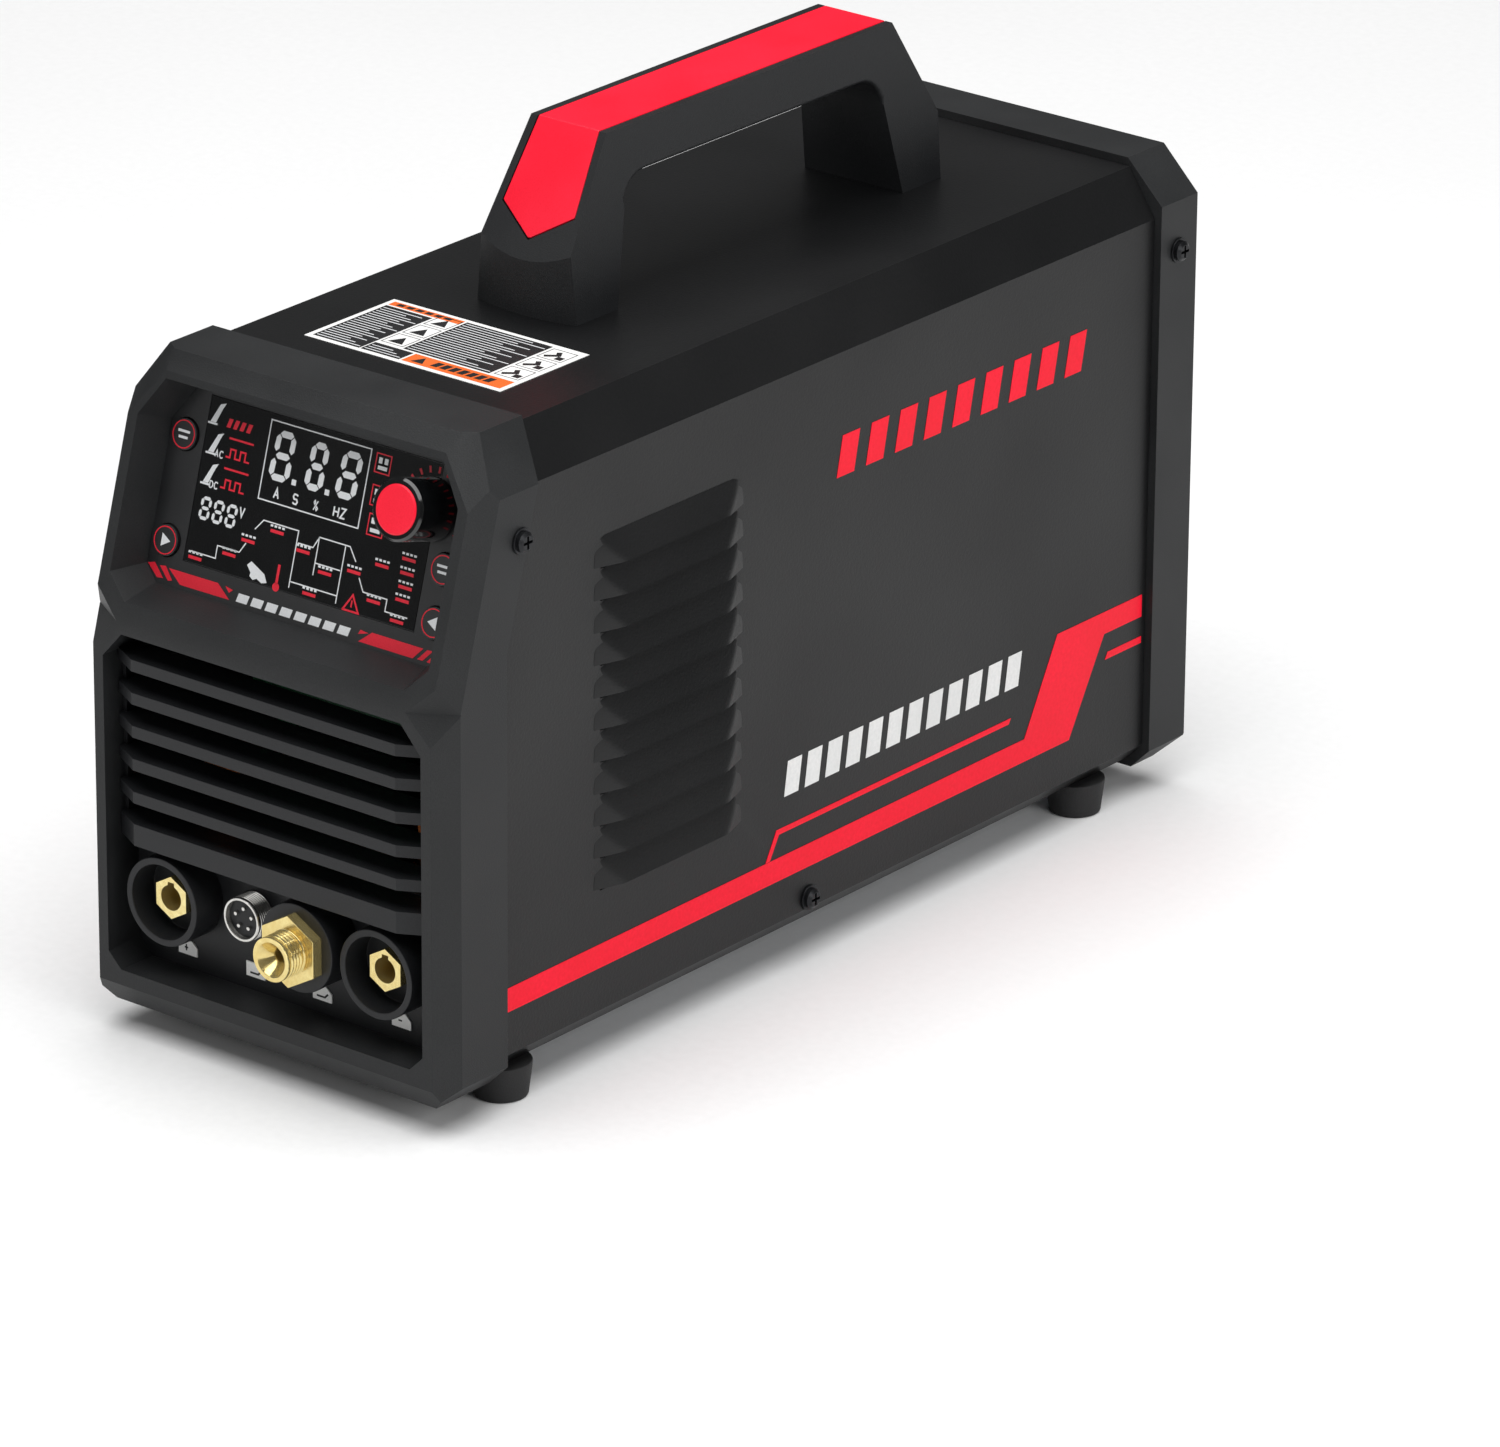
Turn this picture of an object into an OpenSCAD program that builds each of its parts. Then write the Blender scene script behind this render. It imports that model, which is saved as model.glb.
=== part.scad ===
// Tig welding machine: a portable inverter power source in a sheet-steel case.
// Millimetres, +Z up, the front faces -Y, the origin is under the middle of the case on the floor.

/* [Case] */
// Width over the front and rear bezels
case_width = 160; // [140:1:200]
// Length from the lower front face to the rear face
case_length = 415; // [360:1:480]
// Height from the underside of the bezels to their top
case_height = 232; // [200:1:270]
// Wall of the moulded bezels
bezel_wall = 2.8; // [2:0.1:4]
// Depth of the rear bezel
rear_bezel_depth = 21.4; // [15:0.1:30]
// Sheet thickness of the cover
sheet = 1.2; // [0.8:0.1:2]
// Width from the middle of the case to the cover side
cover_half_width = 77; // [67:0.5:97]
// Drop of the rubber feet below the bezels
foot_drop = 10; // [6:0.5:16]

/* [Front] */
// Height of the fold where the display face starts to lean back
fold_z = 142.6; // [120:0.1:170]
// Lean of the display face from the vertical, degrees
tilt = 16.3; // [5:0.1:30]
// Depth of the display floor behind the leaning face, along Y
display_depth = 14; // [8:0.5:18]
// Half width of the lower opening
opening_half_width = 70.5; // [60:0.5:90]
// Underside of the lower opening
opening_z0 = 14.2; // [10:0.1:20]
// Top of the lower opening
opening_z1 = 138.1; // [120:0.1:150]
// Depth of the socket panel behind the lower face
socket_panel_y = 16; // [12:0.5:24]

/* [Louvres] */
// Number of thin front slats
front_slats = 5; // [3:1:7]
// Spacing of the front slats
slat_pitch = 12.05; // [8:0.05:16]
// Height of a front slat's face
slat_height = 4.3; // [3:0.1:6]
// Number of pressed louvres on each side
side_louvres = 11; // [4:1:14]
// Spacing of the pressed louvres
louvre_pitch = 11.66; // [9:0.01:15]
// Length of a pressed louvre
louvre_length = 78.5; // [40:0.5:120]
// Height a pressed louvre stands out from the cover
louvre_rise = 3.6; // [2:0.1:4.5]

/* [Controls] */
// Diameter of the knob
knob_diameter = 21.5; // [16:0.5:26]
// Height of the knob's red cap above the display floor
knob_height = 19.4; // [14:0.1:24]
// Diameter of the push buttons
button_diameter = 11; // [8:0.5:13]
// Height of a push button above the display floor
button_rise = 1.2; // [1:0.1:2]

/* [Sockets] */
// Sideways distance of the weld sockets from the middle
socket_x = 48; // [40:0.5:60]
// Height of the row of sockets
socket_z = 43; // [30:0.5:60]
// Diameter of the socket collars
socket_collar = 32; // [28:0.5:36]
// Bore of the weld sockets
socket_bore = 9; // [9:0.5:13]
// Distance the gas stud stands ahead of the lower face
stud_reach = 10.5; // [5:0.5:16]
// Outer diameter of the gas stud's thread
stud_thread = 16; // [10:1:20]
// Outer diameter of the control connector
plug_thread = 16; // [12:1:20]

/* [Handle] */
// Height of the handle's top above the underside of the bezels
handle_top = 291; // [270:0.5:310]
// Half width of the handle at its foot
handle_foot_half = 22; // [16:0.5:30]
// Half width of the handle at its top
handle_top_half = 16.5; // [12:0.5:22]
// Middle of the handle, from the lower front face
handle_y = 239.5; // [200:0.5:280]
// Length of the handle over its bulged ends
handle_length = 207.8; // [180:0.1:240]

/* [Rear] */
// Plane of the rear panel, from the lower front face
rear_panel_y = 405; // [395:0.5:410]
// Size of the square fan
fan_size = 120; // [92:1:120]
// Height of the fan's middle
fan_z = 147; // [130:0.5:155]
// Distance the gas barb ends behind the lower front face
barb_end = 429; // [420:0.5:440]

/* [Hidden] */
$fn = 64;
eps = 0.05;
running = 0.05;
mid_y = (barb_end - stud_reach) / 2;
half_width = case_width / 2;
lean = tan(tilt);
sin_t = sin(tilt);
cos_t = cos(tilt);
face_h = display_depth * cos_t;
cover_top = case_height - 3;
cover_bottom = 3.2;
tray_z = 3;
cover_y0 = 26;
cover_y1 = case_length - rear_bezel_depth - 0.3;
rear_y0 = case_length - rear_bezel_depth;
corner_x = 12;
corner_z = 19.6;
foot_corner = 8;
edge_x = 5.2;
edge_y = 9.3;
brow_y = 24.4;
brow_z = 226;
brow_back = 30;
knob_x = 49.6;
knob_s = 61.2;
button_x = 59.3;
button_high = 61.6;
button_step = 43.1;
button_low = 25;
plug_x = -17.2;
stud_x = 12.8;
collar_front = 2.5;
cup_floor = 14.5;
screw_spots = [[half_width, 40.4, 195], [cover_half_width, 199, 14.2], [half_width, 404, 197.9]];
louvre_y0 = 82;
louvre_z0 = 55.4;
shelf_z = 84;
board_z = 92;
window_half = 51;
window_s0 = 20;
window_s1 = 77;
board_h = -10;
board_t = 1.6;
foot_spots = [[-66, 45.8], [66, 45.8], [-66, 368], [66, 368]];
handle_bolts = [[-11, 149], [11, 149], [-11, 330], [11, 330]];
pivot_y = 404.5;
switch_x = -42;
low_z = 46;
gland_x = 46;
fan_y0 = 379.5;
fan_depth = 25;

// Moves a shape from the case's own corner to the shared origin.
module place() {
    translate([0, -mid_y, foot_drop]) children();
}

// The display floor's own axes: X across, Y up the floor, Z out of it.
module on_display() {
    translate([0, display_depth, fold_z]) rotate([90 - tilt, 0, 0]) children();
}

// Everything on the far side of a plane through p, square to n.
module beyond(p, n, s = 700) {
    l = norm(n);
    translate(p) rotate([0, acos(n[2] / l), atan2(n[1], n[0])]) translate([-s / 2, -s / 2, 0]) cube(s);
}

function inward(p, n, d) = p - n * (d / norm(n));

// A rectangle with its four corners cut off.
function cut_rect(w, z0, z1, tx, tz, bx, bz) = [
    [-w + bx, z0], [w - bx, z0], [w, z0 + bz], [w, z1 - tz],
    [w - tx, z1], [-w + tx, z1], [-w, z1 - tz], [-w, z0 + bz]];

// A prism standing along Y, drawn in X and Z.
module prism_y(pts, y0, y1) {
    translate([0, y1, 0]) rotate([90, 0, 0]) linear_extrude(y1 - y0) polygon(pts);
}

// A prism lying along X, drawn in Y and Z.
module prism_x(pts, x0, x1) {
    translate([x0, 0, 0]) rotate([90, 0, 90]) linear_extrude(x1 - x0) polygon(pts);
}

// A cylinder along Y.
module rod_y(r, y0, y1, x = 0, z = 0) {
    translate([x, y1, z]) rotate([90, 0, 0]) cylinder(h = y1 - y0, r = r);
}

// A hexagon along Y with a corner at the top.
module hex_y(af, y0, y1, x = 0, z = 0) {
    translate([x, y1, z]) rotate([90, 0, 0]) rotate([0, 0, 30]) cylinder(h = y1 - y0, r = af / sqrt(3), $fn = 6);
}

// Case screw axes: runs the child shape along +X at each spot and its mirror.
module at_case_screws() {
    for (side = [0, 1]) mirror([side, 0, 0]) for (s = screw_spots) translate(s) rotate([0, 90, 0]) children();
}

module screw_holes(r) {
    at_case_screws() translate([0, 0, -20]) cylinder(h = 40, r = r, $fn = 32);
}

// The front bezel's outside form, set in by d.
module bezel_form(d) {
    side_planes = [
        [[half_width, 0, 0], [1, 0, 0]],
        [[half_width, 0, case_height - corner_z], [corner_z, 0, corner_x]],
        [[half_width, 0, foot_corner], [1, 0, -1]],
        [[half_width - edge_x, 0, 0], [edge_y, -edge_x, 0]],
        [[half_width - edge_x, 0, fold_z], [edge_y, -edge_x, edge_x * lean]],
        [[half_width - 5.8, 19.9, case_height - 21.7], [95, -142.1, 117.4]]];
    mid_planes = [
        [[0, 0, case_height], [0, 0, 1]],
        [[0, 0, 0], [0, 0, -1]],
        [[0, 0, 0], [0, -1, 0]],
        [[0, 0, fold_z], [0, -cos_t, sin_t]],
        [[0, brow_y, brow_z], [0, -6, 5.6]],
        [[0, 5.4, 0], [0, -8.5, -5.4]]];
    waist = [half_width - 16, 0, fold_z];
    waist_low = [105.6, -176, 111.4];
    waist_high = [95, -158.4, -59.2];
    difference() {
        translate([-half_width - 10, -10, -10]) cube([case_width + 20, 140, case_height + 20]);
        for (q = mid_planes) beyond(inward(q[0], q[1], d), q[1]);
        for (side = [0, 1]) mirror([side, 0, 0]) {
            for (q = side_planes) beyond(inward(q[0], q[1], d), q[1]);
            intersection() {
                beyond(inward(waist, waist_low, d), waist_low);
                beyond(inward(waist, waist_high, d), waist_high);
            }
        }
    }
}

// The space behind the bezel's rear edge, moved forward by d.
module behind_bezel(d) {
    far = 300;
    prism_x([[33 - d, -20], [33 - d, 156], [55.2 - d, case_height], [55.2 - d, case_height + 20],
        [far, case_height + 20], [far, -20]], -100, 100);
}

// The display window's recess, narrowing towards its floor, grown by g.
module display_recess(g) {
    front = cut_rect(70.5, 3, 80.3, 9.5, 14.2, 8.5, 8.7);
    floor_pts = cut_rect(66.3, 10.1, 78, 8.3, 14, 7.2, 5.6);
    n = len(front);
    on_display() difference() {
        translate([-100, -40, 0]) cube([200, 160, face_h + 30]);
        for (i = [0 : n - 1]) {
            a = [front[i][0], front[i][1], face_h];
            b = [front[(i + 1) % n][0], front[(i + 1) % n][1], face_h];
            c = [floor_pts[i][0], floor_pts[i][1], 0];
            out = cross(a - b, c - a);
            beyond(inward(a, out, -g), out);
        }
    }
}

function lower_opening(g) = cut_rect(opening_half_width + g, opening_z0 - g, opening_z1 + g, 8.6, 9.6, 5.7, 5.6);

module front_bezel() {
    collar = 2;
    color("#333437") place() difference() {
        union() {
            difference() {
                bezel_form(0);
                bezel_form(bezel_wall);
            }
            intersection() {
                bezel_form(0);
                union() {
                    display_recess(collar);
                    prism_y(lower_opening(collar), -5, socket_panel_y);
                }
            }
        }
        display_recess(0);
        prism_y(lower_opening(0), -6, 60);
        behind_bezel(0);
        screw_holes(2.3);
    }
}

module display_panel() {
    t = 3;
    color("#1d1e20") place() on_display() difference() {
        translate([0, 0, -t]) linear_extrude(t - eps) polygon(cut_rect(69, 6.5, 80.5, 9, 14, 7, 6));
        translate([-window_half - 0.2, window_s0 - 0.2, -1.2])
            cube([2 * window_half + 0.4, window_s1 - window_s0 + 0.4, 2]);
        translate([-window_half + 4, window_s0 + 4, -5])
            cube([2 * window_half - 8, window_s1 - window_s0 - 8, 6]);
        button_spots() translate([0, 0, -5]) cylinder(h = 8, r = button_diameter / 2 + 0.35);
        translate([knob_x, knob_s, -5]) cylinder(h = 8, r = 4);
    }
}

module button_spots() {
    for (p = [[-button_x, button_high], [-button_x, button_low], [button_x, button_step], [button_x, button_low]])
        translate([p[0], p[1], 0]) children();
}

module display_window() {
    color("#0c0d0f") place() on_display() difference() {
        translate([-window_half, window_s0, -1.15])
            cube([2 * window_half, window_s1 - window_s0, 1.15]);
        translate([knob_x, knob_s, -2]) cylinder(h = 4, r = 4);
        translate([button_x, button_step, -2]) cylinder(h = 4, r = button_diameter / 2 + 0.35);
    }
}

module push_button(x, s) {
    stem_end = -6.2;
    color("#17181a") place() on_display() translate([x, s, 0]) {
        translate([0, 0, -3.6]) cylinder(h = 3.6 + button_rise, r = button_diameter / 2);
        translate([0, 0, stem_end]) cylinder(h = -3.6 - stem_end + eps, r = 1.6);
    }
}

module mode_button() {
    push_button(-button_x, button_high);
}

module step_button() {
    push_button(button_x, button_step);
}

module left_button() {
    push_button(-button_x, button_low);
}

module right_button() {
    push_button(button_x, button_low);
}

module at_knob() {
    place() on_display() translate([knob_x, knob_s, 0]) children();
}

module knob_body() {
    r = knob_diameter / 2;
    skirt = 0.9;
    seat = knob_height - 1.4;
    color("#161719") at_knob() difference() {
        union() {
            translate([0, 0, skirt]) cylinder(h = seat - skirt, r = r);
            translate([0, 0, seat - eps]) cylinder(h = 0.9, r1 = r, r2 = r - 0.9);
        }
        translate([0, 0, seat]) cylinder(h = 3, r = knob_cap_r() + 0.1);
        translate([0, 0, -1]) cylinder(h = 13.1, r = 3 + 0.02);
        translate([0, 0, skirt - 1]) cylinder(h = 2.6, r = 5.4);
    }
}

function knob_cap_r() = 8.5;

module knob_cap() {
    seat = knob_height - 1.4;
    color("#f5253c") at_knob() {
        translate([0, 0, seat]) cylinder(h = 1, r = knob_cap_r());
        translate([0, 0, seat + 1 - eps]) cylinder(h = 0.4 + eps, r1 = knob_cap_r(), r2 = knob_cap_r() - 0.5);
    }
}

module encoder_shaft() {
    color("#c9ccd0") at_knob() {
        translate([0, 0, -4]) cylinder(h = 16, r = 3);
        translate([0, 0, -5.2]) cylinder(h = 1.4, r = 4.4);
    }
}

module encoder_base() {
    top = -3.2;
    color("#8d9094") at_knob() difference() {
        union() {
            translate([-6, -6.5, board_h + board_t]) cube([12, 13, top - board_h - board_t]);
            translate([0, 0, top - eps]) cylinder(h = 4.6, r = 3.8);
        }
        translate([0, 0, -6]) cylinder(h = 10, r = 3 + running);
        translate([0, 0, -5.6]) cylinder(h = 2.2, r = 4.7);
    }
}

module display_board() {
    x0 = -64;
    y0 = 12;
    tact = 0.5;
    color("#1f5a37") place() on_display() {
        difference() {
            translate([x0, y0, board_h]) cube([-2 * x0, 67, board_t]);
            for (sx = [-1, 1]) for (sy = [16, 75]) translate([sx * 55, sy, board_h - 1]) cylinder(h = 4, r = 1.6, $fn = 32);
        }
        button_spots() translate([-3, -3, board_h + board_t - eps]) cube([6, 6, tact + eps]);
        for (sx = [-22, -6, 10]) translate([sx, 51, board_h + board_t - eps]) cube([13, 22, 5.5]);
        translate([-48, 33, board_h + board_t - eps]) cube([22, 12, 5.5]);
    }
}

// Plan of a front slat: its middle faces forward and its ends turn back to the cheeks.
function slat_plan(end_x, back_y) = [
    [-58.6, 1], [58.6, 1], [end_x, 7.9], [end_x, back_y], [-end_x, back_y], [-end_x, 7.9]];

module front_louvre() {
    top_z = 125.3;
    strip_z = 61.5;
    strip_height = 8;
    cheek = 1.6;
    clear = 0.2;
    end_x = opening_half_width + 1;
    color("#2c2d30") place() intersection() {
        prism_y(lower_opening(-clear), -2, socket_panel_y - 0.1);
        union() {
            for (i = [0 : front_slats - 1]) translate([0, 0, top_z - i * slat_pitch])
                linear_extrude(slat_height) polygon(slat_plan(end_x, 14.5));
            translate([0, 0, strip_z]) linear_extrude(strip_height) polygon(slat_plan(end_x, 20));
            for (side = [0, 1]) mirror([side, 0, 0])
                translate([opening_half_width - clear - cheek, 9.5, strip_z + 1]) cube([cheek + 2, 10, 90]);
        }
    }
}

module socket_panel() {
    t = 2.5;
    color("#242528") place() difference() {
        translate([-74, socket_panel_y, 8]) cube([148, t, 62]);
        for (x = [-socket_x, socket_x]) rod_y(11.1, 0, 30, x, socket_z);
        rod_y(plug_thread / 2 + 0.1, 0, 30, plug_x, socket_z);
        rod_y(stud_thread / 2 + 0.1, 0, 30, stud_x, socket_z);
    }
}

module socket_collar_at(x) {
    r = socket_collar / 2;
    color("#1e1f21") place() difference() {
        union() {
            rod_y(r, collar_front, socket_panel_y, x, socket_z);
            rod_y(11, socket_panel_y - eps, 26, x, socket_z);
        }
        rod_y(r - 2.6, 0, cup_floor - 1, x, socket_z);
        rod_y(6.05, 0, 40, x, socket_z);
    }
}

module plus_socket_collar() {
    socket_collar_at(-socket_x);
}

module minus_socket_collar() {
    socket_collar_at(socket_x);
}

module socket_insert_at(x) {
    front = 7.3;
    color("#c79a3c") place() difference() {
        union() {
            hex_y(13.6, front, cup_floor - 1, x, socket_z);
            rod_y(6, cup_floor - 1 - eps, 34, x, socket_z);
        }
        rod_y(socket_bore / 2, front - 1, 30, x, socket_z);
        translate([x - 1.4, front - 1, socket_z]) cube([2.8, 6, 5.6]);
    }
}

module plus_socket_insert() {
    socket_insert_at(-socket_x);
}

module minus_socket_insert() {
    socket_insert_at(socket_x);
}

module socket_nuts() {
    color("#b9bcc0") place() for (x = [-socket_x, socket_x]) difference() {
        hex_y(28, socket_panel_y + 2.5, 25, x, socket_z);
        rod_y(11.1, 10, 40, x, socket_z);
    }
}

module torch_connector_shell() {
    r = plug_thread / 2;
    front = 8.4;
    color("#d2d4d6") place() difference() {
        union() {
            rod_y(r, front, socket_panel_y - 0.1, plug_x, socket_z);
            rod_y(r - 0.6, socket_panel_y - 0.2, 27, plug_x, socket_z);
        }
        rod_y(r - 1.2, 0, 40, plug_x, socket_z);
    }
}

module torch_connector_core() {
    color("#141517") place() difference() {
        rod_y(plug_thread / 2 - 1.25, 10.4, 26, plug_x, socket_z);
        pin_spots() rod_y(0.8, 5, 40);
    }
}

module pin_spots() {
    ring = 3.7;
    for (i = [0 : 4]) translate([plug_x + ring * sin(-36 - 72 * i), 0, socket_z - ring * cos(-36 - 72 * i)]) children();
}

module torch_connector_pins() {
    color("#d9dadb") place() pin_spots() rod_y(0.75, 9.4, 29);
}

module torch_connector_nut() {
    color("#c4c6c9") place() difference() {
        hex_y(19, socket_panel_y + 2.5, 21.5, plug_x, socket_z);
        rod_y(plug_thread / 2 + running, 10, 40, plug_x, socket_z);
    }
}

module gas_stud_collar() {
    color("#1e1f21") place() difference() {
        rod_y(socket_collar / 2, collar_front, socket_panel_y, stud_x, socket_z);
        rod_y(stud_thread / 2 + 0.1, 0, 40, stud_x, socket_z);
    }
}

module gas_stud() {
    r = stud_thread / 2;
    tip = -stud_reach;
    color("#c79a3c") place() difference() {
        union() {
            rod_y(r, tip, 32, stud_x, socket_z);
            hex_y(23, -2, collar_front, stud_x, socket_z);
            rod_y(4.2, 31, 46, stud_x, socket_z);
        }
        rod_y(2.25, tip - 1, 50, stud_x, socket_z);
        translate([stud_x, tip - eps, socket_z]) rotate([-90, 0, 0]) cylinder(h = 5, r1 = 6.3, r2 = 2.2);
    }
}

module socket_labels() {
    t = 0.5;
    color("#c9cbcc") place() for (x = [-socket_x, plug_x, stud_x, socket_x])
        prism_y([[x - 4.2, 19.3], [x + 4.2, 19.3], [x + 4.2, 22.4], [x + 1.8, 24.4], [x - 1.8, 24.4], [x - 4.2, 22.4]],
            socket_panel_y - t, socket_panel_y - eps);
}

// The cover's section, set in by d: straight sides, chamfered along the top and turned in at the bottom.
function cover_section(d, bottom) = [
    [-70.2 + 1.4 * d, bottom], [-70.2 + 1.4 * d, cover_bottom], [-cover_half_width + d, 10.2 + 0.4 * d],
    [-cover_half_width + d, cover_top - 17.4 - 0.2 * d], [-65.5 + 0.6 * d, cover_top - d],
    [65.5 - 0.6 * d, cover_top - d], [cover_half_width - d, cover_top - 17.4 - 0.2 * d],
    [cover_half_width - d, 10.2 + 0.4 * d], [70.2 - 1.4 * d, cover_bottom], [70.2 - 1.4 * d, bottom]];

// A pressed louvre standing out from the +X side, sloping at its ends, open underneath.
module louvre_form(rise, height, length, grow) {
    run = 15;
    x0 = cover_half_width - sheet / 2;
    face = cover_half_width;
    intersection() {
        prism_y([[x0, -1], [face + rise, -1], [face + rise, 0], [face, height], [x0, height]], -grow, length + grow);
        linear_extrude(height = 40, center = true)
            polygon([[x0 - 1, 0], [face, 0], [face + rise, run], [face + rise, length - run], [face, length],
                [x0 - 1, length]]);
    }
}

module louvre_spots() {
    for (side = [0, 1]) mirror([side, 0, 0]) for (i = [0 : side_louvres - 1])
        translate([0, louvre_y0, louvre_z0 + i * louvre_pitch]) children();
}

module cover() {
    slot = 7;
    color("#2b2c2f") place() difference() {
        union() {
            prism_y(cover_section(0, cover_bottom - 0.1), cover_y0, cover_y1);
            louvre_spots() difference() {
                louvre_form(louvre_rise, 10, louvre_length, 0);
                translate([cover_half_width - 5, -1, -2]) cube([20, louvre_length + 2, 2]);
            }
        }
        prism_y(cover_section(sheet, -1), 0, 420);
        louvre_spots() translate([0, 3, 0]) louvre_form(louvre_rise - sheet, slot, louvre_length - 6, 0);
        louvre_spots() translate([cover_half_width - 3, 5, 0]) cube([3.2, louvre_length - 10, slot * 0.8]);
        cover_front_trim();
        screw_holes(2.3);
        for (p = handle_bolts) translate([p[0], p[1], cover_top - 5]) cylinder(h = 10, r = 2.7, $fn = 32);
    }
}

// The cover's front edge follows the bezel's rear edge and tucks behind it.
module cover_front_trim() {
    prism_x([[-50, -10], [-50, 300], [52, 300], [49.5, cover_top], [cover_y0, 149], [cover_y0, -10]], -100, 100);
}

// Stripe outline on the side of the cover, drawn in Y and Z.
module stripe_flat() {
    polygon([[34.5, 26], [348.6, 26], [368.6, 60.8], [391, 60.8], [391, 69.3], [340.6, 69.3], [322, 34.7], [34.5, 34.7]]);
    polygon([[369.4, 50.6], [391, 50.6], [391, 53.2], [371, 53.2]]);
    polygon([[181.4, 43.4], [312.6, 43.4], [313.8, 45.4], [180.2, 45.4]]);
    polygon([[174.5, 34.9], [176.8, 34.9], [182.8, 45.2], [180.4, 45.4]]);
}

module side_stripes() {
    t = 0.15;
    color("#f5253c") place() for (side = [0, 1]) mirror([side, 0, 0])
        translate([cover_half_width + 0.02, 0, 0]) rotate([90, 0, 90]) linear_extrude(t) stripe_flat();
}

module top_label() {
    color("#e9e9e6") place() translate([-43.2, 73.5, cover_top + 0.02]) cube([86.4, 46.5, 0.15]);
}

module base_tray() {
    w = 68.2;
    flange = 34;
    rear_flange = 24;
    length = cover_y1 - 13.5;
    color("#8b8f93") place() difference() {
        union() {
            translate([-w, 12, tray_z]) cube([2 * w, length, sheet]);
            for (side = [0, 1]) mirror([side, 0, 0]) translate([w - sheet, 36, tray_z]) cube([sheet, 350, flange]);
            translate([-w, 12 + length - sheet, tray_z]) cube([2 * w, sheet, rear_flange]);
        }
        for (p = foot_spots) translate([p[0], p[1], 0]) cylinder(h = 10, r = 2.6, $fn = 32);
        screw_holes(2.3);
        for (i = [0 : 9]) translate([-40, 90 + i * 24, 0]) cube([80, 6, 10]);
    }
}

module rear_bezel() {
    d = bezel_wall;
    chop = 15.4;
    plate = 3;
    lip_top = cover_top - sheet - 0.2;
    foot = [0, 8.5, -8];
    foot_edge = [0, case_length - 8, 0];
    color("#333437") place() difference() {
        prism_y(cut_rect(half_width, 0, case_height, chop, chop, foot_corner, foot_corner), rear_y0, case_length);
        beyond(foot_edge, foot);
        difference() {
            prism_y(cut_rect(half_width - d, d, case_height - d, chop, chop, foot_corner, foot_corner),
                rear_y0 + plate, case_length - plate);
            beyond(inward(foot_edge, foot, d), foot);
            difference() {
                prism_y(cut_rect(71.5, 11.5, 221.5, 13, 13, 7, 7), rear_panel_y + 2.1, case_length);
                prism_y(cut_rect(69.5, 13.5, 219.5, 13, 13, 7, 7), rear_panel_y - 3, case_length + 5);
            }
        }
        prism_y(cut_rect(75.6, 6, lip_top, 12, 18, 5, 5), rear_y0 - 1, rear_y0 + plate + 1);
        prism_y(cut_rect(69.5, 13.5, 219.5, 13, 13, 7, 7), rear_panel_y - 3, case_length + 5);
        screw_holes(2.3);
    }
}

module rear_panel() {
    color("#232427") place() difference() {
        prism_y(cut_rect(71.5, 11.5, 221.5, 13, 13, 7, 7), rear_panel_y, rear_panel_y + 2);
        rod_y(fan_size / 2 - 2.5, 400, 420, 0, fan_z);
        fan_bolts(2.2, 300, 430);
        translate([switch_x - 11, 400, low_z - 14]) cube([22, 20, 28]);
        rod_y(9.1, 400, 420, gland_x, low_z);
        rod_y(6.1, 400, 420, stud_x, socket_z);
    }
}

module fan_guard() {
    wire = 0.9;
    y = rear_panel_y + 2 + wire + 0.1;
    color("#b7babd") place() {
        for (r = [14 : 8.4 : 56]) difference() {
            rod_y(r + wire, y - wire, y + wire, 0, fan_z);
            rod_y(r - wire, y - wire - 1, y + wire + 1, 0, fan_z);
        }
        for (a = [45 : 90 : 360]) translate([0, y, fan_z]) rotate([0, a, 0]) translate([12, -wire, -wire])
            cube([58.6, 2 * wire, 2 * wire]);
        difference() {
            fan_bolts(4.2, rear_panel_y + 2.1, rear_panel_y + 3.9);
            fan_bolts(2.2, 300, 430);
        }
    }
}

module fan_screws() {
    head = rear_panel_y + 3.95;
    at = fan_size / 2 - 7.5;
    color("#9b9ea2") place() difference() {
        union() {
            for (x = [-at, at]) for (z = [fan_z - at, fan_z + at]) rod_y(3.9, head, head + 2.1, x, z);
            fan_bolts(2.1, fan_y0 + 3, head + eps);
        }
        for (x = [-at, at]) for (z = [fan_z - at, fan_z + at]) hex_y(2.6, head + 0.8, head + 3, x, z);
    }
}

module fan_bolts(r, y0, y1) {
    at = fan_size / 2 - 7.5;
    for (x = [-at, at]) for (z = [fan_z - at, fan_z + at]) rod_y(r, y0, y1, x, z);
}

module fan_frame() {
    h = fan_size / 2;
    hub = 20;
    color("#202124") place() difference() {
        union() {
            difference() {
                translate([-h, fan_y0, fan_z - h]) cube([fan_size, fan_depth, fan_size]);
                rod_y(h - 2.5, fan_y0 - 1, fan_y0 + fan_depth + 1, 0, fan_z);
            }
            rod_y(hub, fan_y0 + 0.1, fan_y0 + 3, 0, fan_z);
            for (a = [30 : 120 : 360]) translate([0, fan_y0, fan_z]) rotate([0, a, 0]) translate([hub - 3, 0.4, -3])
                cube([h - hub + 2, 2.2, 6]);
            rod_y(6, fan_y0 + 2, fan_y0 + 16, 0, fan_z);
        }
        rod_y(2 + running, fan_y0 + 1, fan_y0 + 20, 0, fan_z);
        fan_bolts(2.2, 300, 430);
    }
}

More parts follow.
